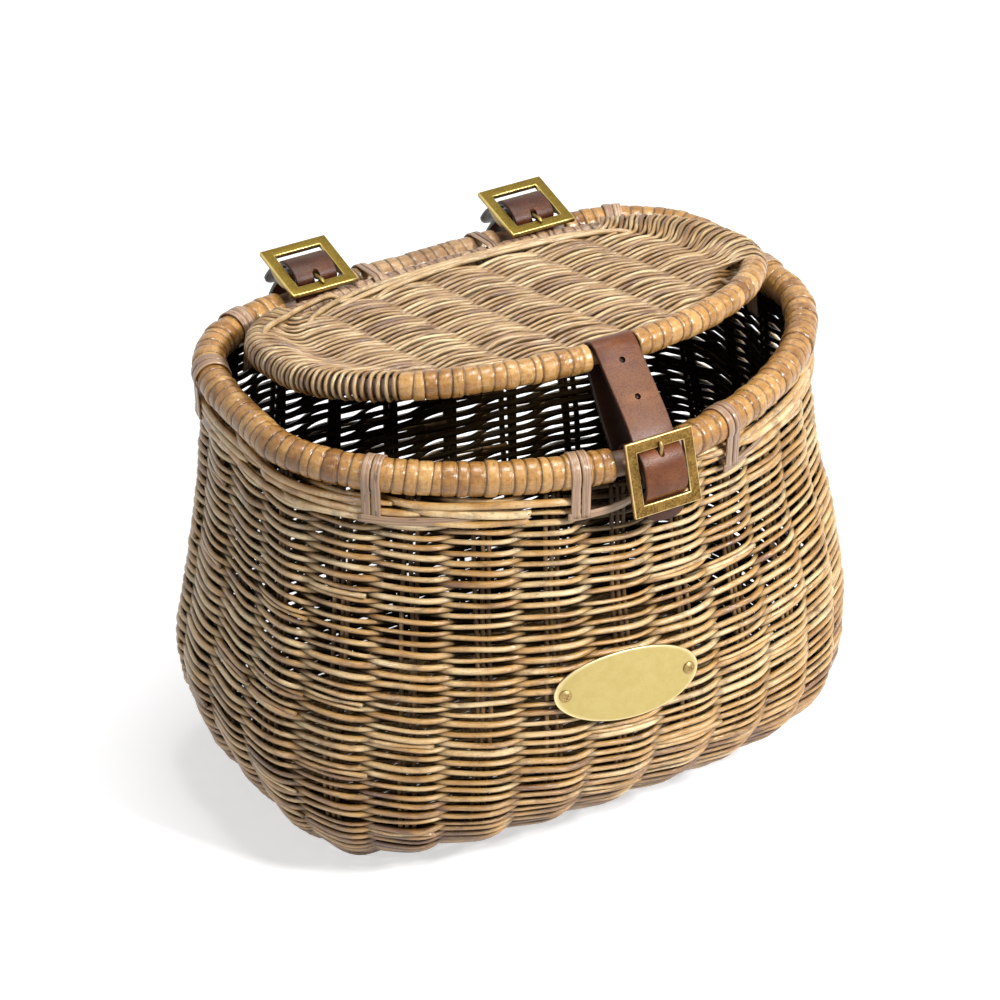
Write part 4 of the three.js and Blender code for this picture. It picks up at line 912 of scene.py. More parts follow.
def rim_bindings():
    """Cane round the rim in three stretches, stopping short of the front and rear buckles."""
    gap = BUCKLE_HALF + 1 * MM
    front = rim_rail.share_at_x(gap, False) - 1
    right = rim_rail.share_at_x(STRAP_X + gap, True)
    middle = (rim_rail.share_at_x(STRAP_X - gap, True), rim_rail.share_at_x(-STRAP_X + gap, True))
    left = rim_rail.share_at_x(-STRAP_X - gap, True)
    for name, start, end, finish, slot in (
        ("rim_binding_right", front, right, CANE_GOLD, "cane_gold"),
        ("rim_binding_back", middle[0], middle[1], CANE_WORN, "cane_grey"),
        ("rim_binding_left", left, 1 - front, CANE_GOLD, "cane_gold"),
    ):
        heap = Heap()
        bind(heap, rim_rail, start, end, RIM_ROD_RADIUS, RIM_RADIUS, RIM_HEIGHT, same)
        heap.piece(name + "_cane", finish, "basket", slot, [name])


def lid_bindings():
    """Golden cane on the lid's front rod each side of the strap, grey cane along its back rod."""
    gap = STRAP_WIDTH / 2 + 1.2 * MM
    start = lid_rail.share_at_x(gap, False) - 1
    right = lid_rail.share_at_x(LID_BOUND_RIGHT_X, False) - 1
    left = 1 - lid_rail.share_at_x(LID_BOUND_LEFT_X, False) + 1
    for name, a, b in (("lid_binding_right", start, right), ("lid_binding_left", left, 1 - start)):
        heap = Heap()
        bind(heap, lid_rail, a, b, LID_ROD_RADIUS, LID_RADIUS, 0.0, lid_place)
        heap.piece(name + "_cane", CANE_GOLD, "lid", "cane_gold", [name])
    heap = Heap()
    back = (lid_rail.share_at_x(LID_BACK_CANE_X, True), lid_rail.share_at_x(-LID_BACK_CANE_X, True))
    bind(heap, lid_rail, back[0], back[1], LID_ROD_RADIUS * 0.8, LID_ROD_RADIUS - 0.3 * MM, 0.0, lid_place,
         ragged=0.9, pitch=5.2 * MM)
    heap.piece("lid_back_cane", CANE_GREY, "lid", "cane_grey")


# Lid.
def lid_weave():
    """Lid rods: each runs along X over and under the ribs as swing * cos(pi x / spacing + pi row). Where
    the hoop is bare the rod's end bends, as a cubic from its row to an even place along the hoop, and
    goes over it, round and under. Where the hoop is bound in cane the end is tucked in below it."""
    front = -LID_BACK_DEPTH - LID_FRONT_DEPTH + LID_INSET
    y = np.arange(front + LID_ROD_PITCH / 2, LID_LAST_ROW_Y, LID_ROD_PITCH)
    rows = len(y)
    turn = np.arange(rows)[:, None]
    step = 0.2 * MM
    reach = d_reach(y, *LID_SHAPE)
    slope = (d_reach(y + step, *LID_SHAPE) - d_reach(y - step, *LID_SHAPE)) / (2 * step)
    facing = unit(np.stack([np.ones(rows), -slope], -1))
    stations = 60
    inner = np.maximum(reach - 25 * MM, 0.5 * reach)
    x = inner[:, None] * np.linspace(-1, 1, stations)[None]
    wave = np.cos(math.pi * x / LID_RIB_SPACING + math.pi * turn)
    swing = LID_SWING * (1 + 0.16 * wander(rows, stations, (2, 3, 5), closed=False))
    drift = 0.5 * MM * wander(rows, stations, (1, 2, 4, 7), closed=False)
    row = np.stack([x, y[:, None] + drift, LID_MIDDLE + swing * wave], -1)
    bends, wraps = 10, 11
    run = np.linspace(0, 1, bends + 2)[None, 1:-1, None]
    loop = np.linspace(math.radians(112), math.radians(-112), wraps)[None, :, None]
    sink = np.linspace(0, 1, wraps)[None, :, None]
    radius = LID_ROD_RADIUS + LID_WEAVER_RADIUS + 0.2 * MM
    path, up, bow = [row], [np.broadcast_to(UP, row.shape)], [wave]
    margin = 2 * MM / lid_rail.length
    left = 2 - lid_rail.share_at_x(LID_BOUND_LEFT_X, False) - margin
    left_back = lid_rail.share_at_x(-LID_BACK_CANE_X, True) + margin
    right = lid_rail.share_at_x(LID_BOUND_RIGHT_X, False) - 1 + margin
    right_back = lid_rail.share_at_x(LID_BACK_CANE_X, True) - margin
    for side, first, last, limit in ((-1, left, left_back, LID_BARE_LEFT_Y),
                                     (1, right, right_back, LID_BARE_RIGHT_Y)):
        wound = y > limit
        place = (np.cumsum(wound) - 1).clip(0) / (wound.sum() - 1)
        place = place + 0.2 * place * (1 - place)
        pair = 0.16 * MM / lid_rail.length * (-1.0) ** np.arange(rows)
        plan, out = lid_rail.at(first + (last - first) * place + pair)
        wound = wound[:, None]
        plan = np.where(wound, plan, np.stack([side * reach, y], -1))
        out = np.where(wound, out, np.stack([side * facing[:, 0], facing[:, 1]], -1))
        centre, away = bend_up(plan, 0.0)[:, None], bend_up(out, 0.0)[:, None]
        wound = wound[:, None]
        deep = (turn % 2)[..., None]
        over = centre + (radius - 0.7 * MM * deep) * (np.cos(loop) * away + np.sin(loop) * UP)
        under = centre - away * (LID_ROD_RADIUS + (2.6 - 1.6 * sink) * MM) - UP * (1.8 + 2.6 * sink) * MM
        tip = np.where(wound, over, under)
        begin = row[:, :1] if side < 0 else row[:, -1:]
        span = np.linalg.norm(tip[:, :1] - begin, axis=-1, keepdims=True)
        bend = cubic(begin, span * np.array([side, 0, 0]), tip[:, :1], span * away, run)
        bend = bend + UP * 0.4 * MM * np.sin(math.pi * run) * (-1.0) ** turn[..., None]
        outward = np.where(wound, unit(over - centre), UP)
        tilt = np.broadcast_to(UP, bend.shape)
        begin = wave[:, :1] if side < 0 else wave[:, -1:]
        goal = np.where(wound[..., 0], 0.8 - 0.75 * deep[..., 0], -0.6)
        level = begin + (goal - begin) * smoothstep(run[..., 0] * 1.4)
        ring = 0.8 - 0.9 * smoothstep((loop[..., 0] + 0.2) / -1.2) - 0.75 * deep[..., 0]
        ring = np.where(wound[..., 0], ring, goal)
        ring = np.broadcast_to(ring, (rows, wraps))
        if side < 0:
            path = [tip[:, ::-1], bend[:, ::-1]] + path
            up = [outward[:, ::-1], tilt] + up
            bow = [ring[:, ::-1], level[:, ::-1]] + bow
        else:
            path, up, bow = path + [bend, tip], up + [tilt, outward], bow + [level, ring]
    path, up, bow = np.concatenate(path, 1), np.concatenate(up, 1), np.concatenate(bow, 1)
    radius = 0.9 * LID_WEAVER_RADIUS * (1 + 0.11 * chance.normal(0, 1, (rows, 1)).clip(-1.5, 1.5))
    radius = radius * np.ones((1, path.shape[1]))
    radius[:, :bends + wraps] *= 0.9
    radius[:, -bends - wraps:] *= 0.9
    tone = 0.5 + 0.18 * chance.normal(0, 1, (rows, 1))
    tone = tone + 0.24 * wander(rows, path.shape[1], (2, 4, 7, 11), closed=False)
    shade = smoothstep(0.28 - 0.7 * bow) * 0.75
    heap = Heap()
    add_rods(heap, lid_place(path), lid_turn(up), radius, 8, False, tone.clip(0, 1), shade, 0.97,
             lit=0.8, back=0.75)
    ribs = np.arange(-4, 5) * LID_RIB_SPACING
    ribs = ribs[np.abs(ribs) < LID_HALF_WIDTH - 8 * MM]
    rib = d_ribs(ribs, *LID_SHAPE, np.linspace(0.02, 0.98, 30), LID_MIDDLE)
    add_rods(heap, lid_place(rib), lid_turn(UP), LID_RIB_RADIUS, 6, False, 0.4, 0.4)
    heap.piece("lid_weave", LID_ROD, "lid", "wicker_straw", ["lid_panel"])


def lid_back_rods():
    """Long pale rods along the lid's back edge: each rises out of the weave, draws in to its own inset
    from the rail as a smooth step, and dips into the weave again at its far end."""
    run = np.linspace(0, 1, 70)
    heap = Heap()
    for k, (start, end, first, inset, lift) in enumerate((
        (0.695, 0.59, 3.0, 11.0, 7.4), (0.65, 0.4, 21.0, 9.8, 4.6), (0.618, 0.345, 23.0, 13.6, 4.8),
        (0.57, 0.33, 23.0, 17.2, 5.0),
    )):
        plan, out = lid_rail.at(start + (end - start) * run)
        draw = inset + (first - inset) * (1 - smoothstep(run / 0.42))
        plan = plan - out * (draw + 0.5 * np.sin(5 * run + k))[:, None] * MM
        z = (lift + 0.4 * np.sin(7 * run + 2 * k) - 5.5 * np.abs(2 * run - 1) ** 12) * MM
        tone = 0.7 + 0.14 * wander(1, 70, (2, 5), closed=False)
        path = np.concatenate([plan, z[:, None]], -1)[None]
        add_rods(heap, lid_place(path), lid_turn(UP), LID_BACK_ROD_RADIUS, 9, False, tone.clip(0, 1),
                 inside=0.9)
    heap.piece("lid_back_rods", LID_ROD, "lid", "wicker_straw")


# Cane ties.
def add_strip(heap, path, normal, width, thickness, tone=0.5):
    """A flat strip of split cane along a path, crowned by its rounded edges."""
    profile = slab(thickness, width, thickness * 0.48)
    verts, faces = sweep(path[None], normal[None], profile)
    seed = np.full((1, 1), chance.uniform(0, 40))
    grain = np.stack(np.broadcast_arrays(travelled(path)[:, None] * 0.1, profile[None, :, 1] * 400, seed), -1)
    tone = np.full(len(path) * len(profile), tone + 0.12 * chance.normal())
    heap.add(verts, faces, grain=grain.reshape(-1, 3), tone=tone, shade=np.zeros(len(tone)))


def tie(heap, share, tail, strips=2):
    """A tie of narrow strips over the rim, down both faces of the wall, with a tail along the wall."""
    lift = RIM_RADIUS + 0.75 * MM
    turn = np.linspace(math.radians(-28), math.radians(208), 22)
    foot = RIM_HEIGHT - RIM_RADIUS - TIE_DROP
    for k in range(strips):
        offset = (k - (strips - 1) / 2) * (TIE_WIDTH + 0.35 * MM)
        spot = share + offset / rim_rail.length
        plan, out = rim_rail.at(np.array([spot]))
        centre = np.append(plan[0], RIM_HEIGHT)
        away = np.append(out[0], 0)
        over_out = np.cos(turn)[:, None] * away + np.sin(turn)[:, None] * UP
        over = centre + lift * over_out
        low = np.linspace(1, 0.25, 6)[:, None]
        foot_out = np.append(plan[0], foot) + away * 7.9 * MM
        foot_in = np.append(plan[0], foot) - away * 6.9 * MM
        outer = foot_out * low + over[0] * (1 - low)
        inner = foot_in * low[::-1] + over[-1] * (1 - low[::-1])
        path = np.concatenate([outer, over, inner])
        normal = np.concatenate([np.tile(away, (6, 1)), over_out, np.tile(-away, (6, 1))])
        add_strip(heap, path, normal, TIE_WIDTH, TIE_THICKNESS)
    if tail:
        run = np.linspace(0, 1, 26)
        spot = share + (run * tail - 6.5 * MM) / rim_rail.length
        fall = foot + (0.8 - 2.5 * run + 6.0 * run * run) * MM
        path, normal = wall.at(spot, fall, (7.4 - 1.2 * smoothstep(run / 0.4) - 3.6 * run ** 5) * MM)
        add_strip(heap, path, normal, TAIL_WIDTH, THIN_CANE)


def ties():
    """The seven ties, each standing for its CAD node, some with tails."""
    shares = (0.056, 0.25, 0.37, 0.63, 0.69, 0.844, 0.957)
    tails = (46, 0, 0, 0, 30, 64, 38)
    for k, (share, tail) in enumerate(zip(shares, tails)):
        heap = Heap()
        tie(heap, share, tail * MM)
        heap.piece(f"rim_tie_{k + 1}_cane", CANE_GREY, "basket", "cane_grey", [f"rim_tie_{k + 1}"])


def hinge_loops():
    """Two turns of cane round the rim and the lid's back rod at each hinge."""
    line, out = belt(np.array([RIM_BACK_Y, RIM_HEIGHT]), RIM_RADIUS + 0.8 * MM,
                     np.array([HINGE_Y, HINGE_Z]), LID_ROD_RADIUS + 1.35 * MM, (26, 20))
    for name, x in (("hinge_loop_left", -HINGE_LOOP_X), ("hinge_loop_right", HINGE_LOOP_X)):
        heap = Heap()
        for shift in (-1.6 * MM, 1.6 * MM):
            add_strip(heap, at_x(x + shift, line), at_x(0, out), LOOP_WIDTH, THIN_CANE)
        heap.piece(name + "_cane", CANE_GREY, "basket", "cane_grey", [name])


# Straps.
FRONT_UP = np.array([math.sin(FRONT_LEAN), math.cos(FRONT_LEAN)])
FRONT_OUT = np.array([-math.cos(FRONT_LEAN), math.sin(FRONT_LEAN)])
FRONT_CENTRE = np.array([RIM_FRONT_Y, RIM_HEIGHT]) + FRONT_REACH * FRONT_OUT - FRONT_SINK * FRONT_UP
REAR_ALONG = np.array([-math.sin(REAR_LEAN), -math.cos(REAR_LEAN)])
REAR_OUT = np.array([-math.cos(REAR_LEAN), math.sin(REAR_LEAN)])
HOOK_RADIUS = BAR_RADIUS + FIT + STRAP_THICKNESS / 2
STRAP_CREST = HOOK_RADIUS - BAR_DROP + STRAP_THICKNESS + FIT
STRAP_UNDER = -BUCKLE_THICKNESS / 2 - STRAP_THICKNESS / 2 - 2 * FIT


def in_front(along, out):
    """Side-plane place (y, z) from distances along and out of the front buckle."""
    return FRONT_CENTRE + np.multiply.outer(along, FRONT_UP) + np.multiply.outer(out, FRONT_OUT)


def at_rear(along, out):
    """Side-plane place (y, z) from distances along and out of a rear buckle."""
    return REAR_CENTRE + np.multiply.outer(along, REAR_ALONG) + np.multiply.outer(out, REAR_OUT)


def arc(centre, radius, start, end, count):
    """Side-plane points on a circle between two angles."""
    angle = np.linspace(start, end, count)
    return centre + radius * np.stack([np.cos(angle), np.sin(angle)], -1)


def even(points, count):
    """A smooth line through side-plane points: centripetal cubic pieces, resampled at even steps."""
    ends = np.concatenate([2 * points[:1] - points[1:2], points, 2 * points[-1:] - points[-2:-1]])
    gap = np.sqrt(np.maximum(np.linalg.norm(np.diff(ends, axis=0), axis=1), 1e-9))
    knot = np.concatenate([[0], np.cumsum(gap)])
    k = np.arange(1, len(ends) - 2)
    t = np.linspace(0, 1, 24, endpoint=False)[None, :, None]
    p0, p1, p2, p3 = (ends[k + d][:, None] for d in (-1, 0, 1, 2))
    k0, k1, k2, k3 = (knot[k + d][:, None, None] for d in (-1, 0, 1, 2))
    m1 = (k2 - k1) * ((p1 - p0) / (k1 - k0) - (p2 - p0) / (k2 - k0) + (p2 - p1) / (k2 - k1))
    m2 = (k2 - k1) * ((p2 - p1) / (k2 - k1) - (p3 - p1) / (k3 - k1) + (p3 - p2) / (k3 - k2))
    line = np.concatenate([cubic(p1, m1, p2, m2, t).reshape(-1, 2), points[-1:]])
    reach = travelled(line)
    goal = np.linspace(0, reach[-1], count)
    return np.stack([np.interp(goal, reach, line[:, 0]), np.interp(goal, reach, line[:, 1])], -1)


def square_to(line):
    """Directions square to a line in the side plane: its steps turned by a quarter."""
    step = np.gradient(line, axis=0)
    return unit(at_x(0, np.stack([-step[:, 1], step[:, 0]], -1)))


def strap_piece(name, line, x, material, slot, node, holes, painted_shade=0.0, dust=0.0, round_end=True):
    """Leather: a rounded slab carried along a side-plane line, its tail narrowing as a quarter ellipse,
    holes cut through. Painted shade and dust are levels along the line."""
    profile = slab(STRAP_THICKNESS, STRAP_WIDTH, 0.7 * MM, 4)
    verts, faces = sweep(at_x(x, line)[None], square_to(line)[None], profile)
    if round_end:
        gone = travelled(line)
        narrow = np.sqrt(1 - (1 - ((gone[-1] - gone) / (9 * MM)).clip(0, 1)) ** 2) * 0.72 + 0.28
        verts[..., 0] = x + (verts[..., 0] - x) * narrow[None, :, None]
    heap = Heap()
    heap.add(verts, faces)
    piece = heap.piece(name, material, None, slot, [node])
    if holes:
        punch(piece, holes)
    mark_strap(piece, line, x, np.broadcast_to(painted_shade, len(line)), np.broadcast_to(dust, len(line)))
    return piece


def mark_strap(piece, line, x, painted_shade, dust):
    """Marks each point with the painted shade and dust of the nearest place on the line; its edges are dark.
    """
    spots = np.empty(len(piece.data.vertices) * 3, np.float32)
    piece.data.vertices.foreach_get("co", spots)
    spots = spots.reshape(-1, 3)
    close = np.argmin(np.linalg.norm(spots[:, None, 1:] - line[None], axis=-1), axis=1)
    edge = smoothstep((np.abs(spots[:, 0] - x) - STRAP_WIDTH / 2 + 1.1 * MM) / (1.0 * MM)) * 0.75
    set_mark(piece.data, "shade", np.maximum(edge, painted_shade[close]))
    set_mark(piece.data, "dust", dust[close] * (1 - edge))


def prisms(holes, half, swell, **marks):
    """A straight prism in each hole, a hole being (place, direction, radius, stretch)."""
    heap = Heap()
    for place, direction, radius, stretch in holes:
        ends = np.stack([place - direction * half, place + direction * half])[None]
        section = circle(18) * radius * swell * np.array([1, stretch])
        verts, faces = sweep(ends, np.array([1.0, 0, 0]), section)
        heap.add(verts, faces, **{mark: np.full(2 * len(section), level) for mark, level in marks.items()})
    return heap


def painted_shade_plugs(name, holes, material, slot):
    """Painted shade in the holes: a short capped prism, fully shaded, in the middle of each hole."""
    return prisms(holes, 0.5 * MM, 1.02, shade=1.0, dust=0.0).piece(name, material, None, slot)


def punch(piece, holes):
    """Cuts holes through a strap with long prisms."""
    cutters = prisms(holes, 5 * MM, 1.0)
    tool = cutters.piece(piece.name + "_punch", piece.data.materials[0], "basket", "leather_front")
    cut = piece.modifiers.new("holes", "BOOLEAN")
    cut.operation = "DIFFERENCE"
    cut.solver = "EXACT"
    cut.object = tool
    graph = bpy.context.evaluated_depsgraph_get()
    done = bpy.data.meshes.new_from_object(piece.evaluated_get(graph))
    piece.modifiers.clear()
    old = piece.data
    done.set_sharp_from_angle(angle=math.radians(48))
    piece.data = done
    bpy.data.meshes.remove(old)
    bpy.data.objects.remove(tool)


def front_strap_line():
    """Up inside the rim, over the lid's front rod, down to the buckle, then under, over and under it."""
    depth = LID_FRONT_DEPTH + LID_BACK_DEPTH - 0.2 * MM
    rod = np.array([HINGE_Y - depth * math.cos(LID_TILT), HINGE_Z + depth * math.sin(LID_TILT)])
    fold = LID_ROD_RADIUS + FIT + 0.2 * MM + STRAP_THICKNESS / 2
    bend = in_front(BUCKLE_HALF, STRAP_UNDER)
    toward = bend - rod
    touch = math.atan2(toward[1], toward[0]) % TURN - math.acos(fold / np.linalg.norm(toward))
    inside = np.array([RIM_FRONT_Y + 12.07 * MM, RIM_HEIGHT - 7 * MM])
    inward = inside - rod
    part = math.atan2(inward[1], inward[0]) % TURN + math.acos(fold / np.linalg.norm(inward)) - TURN
    round_rod = arc(rod, fold, part, touch, 18)
    slack = inside * 0.5 + round_rod[0] * 0.5 + np.array([1.6 * MM, 0])
    along = np.linspace(WINDOW_HALF, -WINDOW_HALF, 17)
    swell = STRAP_CREST - STRAP_UNDER
    over = in_front(along, STRAP_UNDER + swell * (1 - np.abs(along / WINDOW_HALF) ** 3.2))
    early = bend - 9 * MM * unit(toward)
    tail = in_front(np.array([-BUCKLE_HALF, -BUCKLE_HALF - 6 * MM]), np.array([STRAP_UNDER, STRAP_UNDER]))
    mid = early * 0.5 + round_rod[-1] * 0.5
    points = np.concatenate([inside[None], slack[None], round_rod, mid[None], early[None], over, tail])
    return even(points, 150), round_rod[-1], early


def rear_strap_line():
    """Hook on the bar, down behind to the wall's slot, up inside, over the bar and down as the tail."""
    step = STRAP_THICKNESS + FIT
    far = RIM_BACK_Y + REAR_LOOP_REACH
    sag = RIM_BACK_DEPTH * (1 - quarter((STRAP_X + STRAP_WIDTH / 2) / RIM_HALF_WIDTH, RIM_BACK_POWER))
    inner = RIM_BACK_Y - sag - RIM_ROD_RADIUS - FIT - STRAP_THICKNESS / 2
    back = RIM_BACK_Y + WALL_THICKNESS
    half_way = (RIM_HEIGHT + SLOT_Z) / 2
    bar = arc(np.array([0, -BAR_DROP]), HOOK_RADIUS, 0.9 * math.pi, -math.pi / 3, 14)
    hook = at_rear(bar[:, 0], bar[:, 1])
    mid = (STRAP_CREST - BAR_DROP) / 2
    side = BUCKLE_HALF - WINDOW_HALF
    down = np.concatenate([
        at_rear(np.array([-side, -WINDOW_HALF]), -BAR_DROP - HOOK_RADIUS - step * np.array([1, 5])),
        np.array([
            [far - 2 * step, half_way + 2 * step], [far, half_way - 2 * step],
            [(far + back) / 2, SLOT_Z + FIT], [back, SLOT_Z], [RIM_BACK_Y, SLOT_Z],
            [inner + step, SLOT_Z + FIT], [inner, SLOT_Z + 2 * step], [inner, half_way],
            [inner + 1.1 * MM, RIM_HEIGHT], [inner + 2.8 * MM, RIM_HEIGHT + 5.5 * MM],
        ]),
    ])
    over = at_rear(
        np.array([WINDOW_HALF - 5.0 * MM, WINDOW_HALF - 4.9 * MM, WINDOW_HALF / 2, 0,
                  -WINDOW_HALF / 2, STRAP_THICKNESS - WINDOW_HALF, -WINDOW_HALF - FIT, -BUCKLE_HALF,
                  -BUCKLE_HALF - 8 * MM]),
        np.array([STRAP_UNDER - step, mid - STRAP_THICKNESS / 2, mid + STRAP_THICKNESS / 2, STRAP_CREST,
                  mid + STRAP_THICKNESS / 2, STRAP_UNDER, STRAP_UNDER - 2 * step, STRAP_UNDER - 4 * step,
                  STRAP_UNDER - 10 * step]),
    )
    return even(np.concatenate([hook, down, over]), 230)


def closing_strap():
    """The closing strap with two spare holes and the one its tongue goes through, with painted shade on
    its leg inside the rim, in a crease and on its tail under the buckle, and dusty where it is rubbed."""
    line, top, low = front_strap_line()
    run = unit(top - low)
    face = at_x(0, [-run[1], run[0]])
    holes = []
    for share in (0.30, 0.80):
        holes.append((at_x(0, low + (top - low) * share), face, 1.75 * MM, 1.0))
    holes.append((at_x(0, in_front(11.0 * MM, 0.2 * MM)), at_x(0, FRONT_OUT), 1.7 * MM, 1.5))
    spots = np.arange(len(line))
    crest, foot = nearest(line, top), nearest(line, low)
    # Painted shade: the leg inside the rim, a crease past the lid's rod and the tail under the buckle.
    painted_shade = 0.88 * smoothstep((crest - 9 - spots) / 5) + 0.3 * np.exp(-((spots - crest - 13) / 0.8) ** 2)
    painted_shade = painted_shade + 0.7 * smoothstep((spots - len(line) + 15) / 5)
    dust = smoothstep((spots - crest - 2) / 12) * smoothstep((foot + 6 - spots) / 4)
    piece = strap_piece("closing_strap_leather", line, 0.0, LEATHER_FRONT, "leather_front", "front_strap",
                        holes, painted_shade, dust)
    # Painted shade: a near-black prism inside each hole.
    hole_shade = painted_shade_plugs("closing_strap_hole_shade", holes, LEATHER_FRONT, "leather_front")
    for part in (piece, hole_shade):
        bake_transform(part)


def front_chape():
    """The leather loop that holds the front buckle: a belt round the rim's rod and the buckle's bar."""
    sag = RIM_FRONT_DEPTH * (1 - quarter(STRAP_WIDTH / 2 / RIM_HALF_WIDTH, RIM_FRONT_POWER))
    rod = np.array([RIM_FRONT_Y + sag / 2, RIM_HEIGHT])
    bar = in_front(0, -BAR_DROP)
    big = RIM_ROD_RADIUS + FIT + sag / 2 + STRAP_THICKNESS / 2
    loop, _ = belt(rod, big, bar, HOOK_RADIUS, (30, 14))
    slit = (at_x(0, bar + 2.2 * MM * FRONT_OUT), at_x(0, FRONT_OUT), 2.3 * MM, 2.2)
    # The chape carries painted shade all over.
    chape = strap_piece("front_chape_leather", loop, 0.0, LEATHER_FRONT, "leather_front", "front_chape",
                        [slit], 0.35, 0.0, False)
    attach(chape, "basket")


def handlebar_straps():
    """The two handlebar straps, rubbed where they go over their bars."""
    rear = rear_strap_line()
    crest = nearest(rear, at_rear(0.0, STRAP_CREST))
    rubbed = 0.75 * np.exp(-((np.arange(len(rear)) - crest + 5) / 4.0) ** 2)
    for side, x in (("left", -STRAP_X), ("right", STRAP_X)):
        holes = [(at_x(x, at_rear(8.4 * MM, 0.6 * MM)), at_x(0, REAR_OUT), 2.0 * MM, 1.5)]
        piece = strap_piece(f"handlebar_strap_{side}_leather", rear, x, LEATHER_REAR, "leather_rear",
                            f"rear_strap_{side}", holes, 0.0, rubbed)
        # Painted shade: a near-black prism inside the hole.
        hole_shade = painted_shade_plugs(f"handlebar_strap_{side}_hole_shade", holes, LEATHER_REAR, "leather_rear")
        for part in (piece, hole_shade):
            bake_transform(part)


# Buckles.
def buckle(name, to_world, material, slot, body, node):
    """Square frame: a rounded flat section carried round a square with mitred corners, a lug under each
    side and a round bar between the lugs. to_world maps (x, along, out) to the frame of the model."""
    heap = Heap()
    section = slab(BUCKLE_THICKNESS, BUCKLE_HALF - WINDOW_HALF, 0.55 * MM, 4)
    middle = (BUCKLE_HALF + WINDOW_HALF) / 2
    corners = np.array([[1, 1], [-1, 1], [-1, -1], [1, -1]], float)
    share = np.linspace(0, 1, 8, endpoint=False)[None, :, None]
    square = (corners[:, None] * (1 - share) + np.roll(corners, -1, 0)[:, None] * share).reshape(-1, 2)
    high, wide = section[:, 0], np.abs(section[:, 1])
    edge_mark = np.where(np.abs(np.abs(high) - (BUCKLE_THICKNESS / 2 - 0.28 * MM)) < 0.3 * MM, 1.0, 0.0)
    edge_mark *= (high > 0) * (wide > (BUCKLE_HALF - WINDOW_HALF) / 2 - 0.5 * MM)
    plane = square[:, None] * (middle + section[None, :, 1, None])
    local = np.concatenate([plane, np.broadcast_to(section[None, :, :1], plane.shape[:2] + (1,))], -1)
    rows = np.arange(local[..., 0].size).reshape(1, *local.shape[:2])
    heap.add(to_world(local), skin(rows, True, True, False), edge=np.tile(edge_mark, len(square)))
    turn = np.linspace(0, math.pi, 14)
    depth = BAR_DROP + BAR_RADIUS + 0.6 * MM
    lug = np.stack([9.5 * MM * np.cos(turn), -depth * np.sin(turn) ** 0.8], -1)
    for sign in (-1, 1):
        width = np.array([-2.2, -1.9, 1.9, 2.2]) * MM + sign * middle
        pull = np.array([0.93, 1, 1, 0.93])
        sheet = np.stack([np.broadcast_to(width[:, None], (4, 14)), pull[:, None] * lug[None, :, 0],
                          pull[:, None] * lug[None, :, 1]], -1)
        rows = np.arange(56).reshape(1, 4, 14)
        faces = skin(rows, True, False, True)
        heap.add(to_world(sheet), faces, edge=np.full(56, 0.15))
    bar = np.array([[[-middle, 0, -BAR_DROP], [0, 0, -BAR_DROP], [middle, 0, -BAR_DROP]]])
    verts, faces = sweep(bar, UP, circle(14) * BAR_RADIUS)
    heap.add(to_world(verts), faces, edge=np.zeros(42))
    heap.piece(name, material, body, slot, [node])


def tongue(name, to_world, material, slot, body, node):
    """Tongue: a round wire that goes once round the bar and runs, flattening, to a blunt tip on the frame."""
    wire = 1.05 * MM
    eye = BAR_RADIUS + wire + 0.1 * MM
    ring = arc(np.array([0, -BAR_DROP]), eye, math.radians(395), math.radians(80), 22)
    rest = BUCKLE_THICKNESS / 2 + FIT + wire * 0.75
    run = np.array([[6.5 * MM, 0.2 * MM], [10.5 * MM, rest * 0.5], [WINDOW_HALF, rest + 0.1 * MM],
                    [WINDOW_HALF + 1.8 * MM, rest], [WINDOW_HALF + 3 * MM, rest - 0.25 * MM]])
    line = even(np.concatenate([ring, run]), 60)
    size = wire * (1 - 0.45 * smoothstep((np.arange(60) - 56) / 4))[None]
    section = circle(12) * np.array([0.8, 1.15])
    verts, faces = sweep(at_x(0, line)[None], square_to(line)[None], section, False, size)
    heap = Heap()
    heap.add(to_world(verts), faces, edge=np.full(60 * 12, 0.25))
    heap.piece(name, material, body, slot, [node])


def buckles():
    """The front buckle on the rim and the two rear ones on their straps, each with its tongue."""
    def front(local):
        """Front buckle's (x, along, out) to the model."""
        return np.concatenate([local[..., :1], in_front(local[..., 1], local[..., 2])], -1)

    buckle("front_buckle_brass", front, BRASS_ANTIQUE, "brass_dark", "basket", "front_buckle")
    tongue("front_tongue_brass", front, BRASS_ANTIQUE, "brass_dark", "front_prong", "front_tongue")
    for side, x in (("left", -STRAP_X), ("right", STRAP_X)):
        def rear(local, x=x):
            """A rear buckle's (x, along, out) to the model, turned to face back."""
            return np.concatenate([x - local[..., :1], at_rear(local[..., 1], local[..., 2])], -1)

        buckle(f"rear_buckle_{side}_brass", rear, BRASS_YELLOW, "brass_yellow", f"rear_frame_{side}",
               f"rear_buckle_{side}")
        tongue(f"rear_tongue_{side}_brass", rear, BRASS_YELLOW, "brass_yellow", f"rear_prong_{side}",
               f"rear_tongue_{side}")


# Plate.
def plate_bend(x):
    """How far the front wall falls back at x from the plate's middle."""
    half, front, _, power = wall_sizes(PLATE_Z)
    return -front * (quarter((x + PLATE_X) / half, power) - quarter(PLATE_X / half, power))


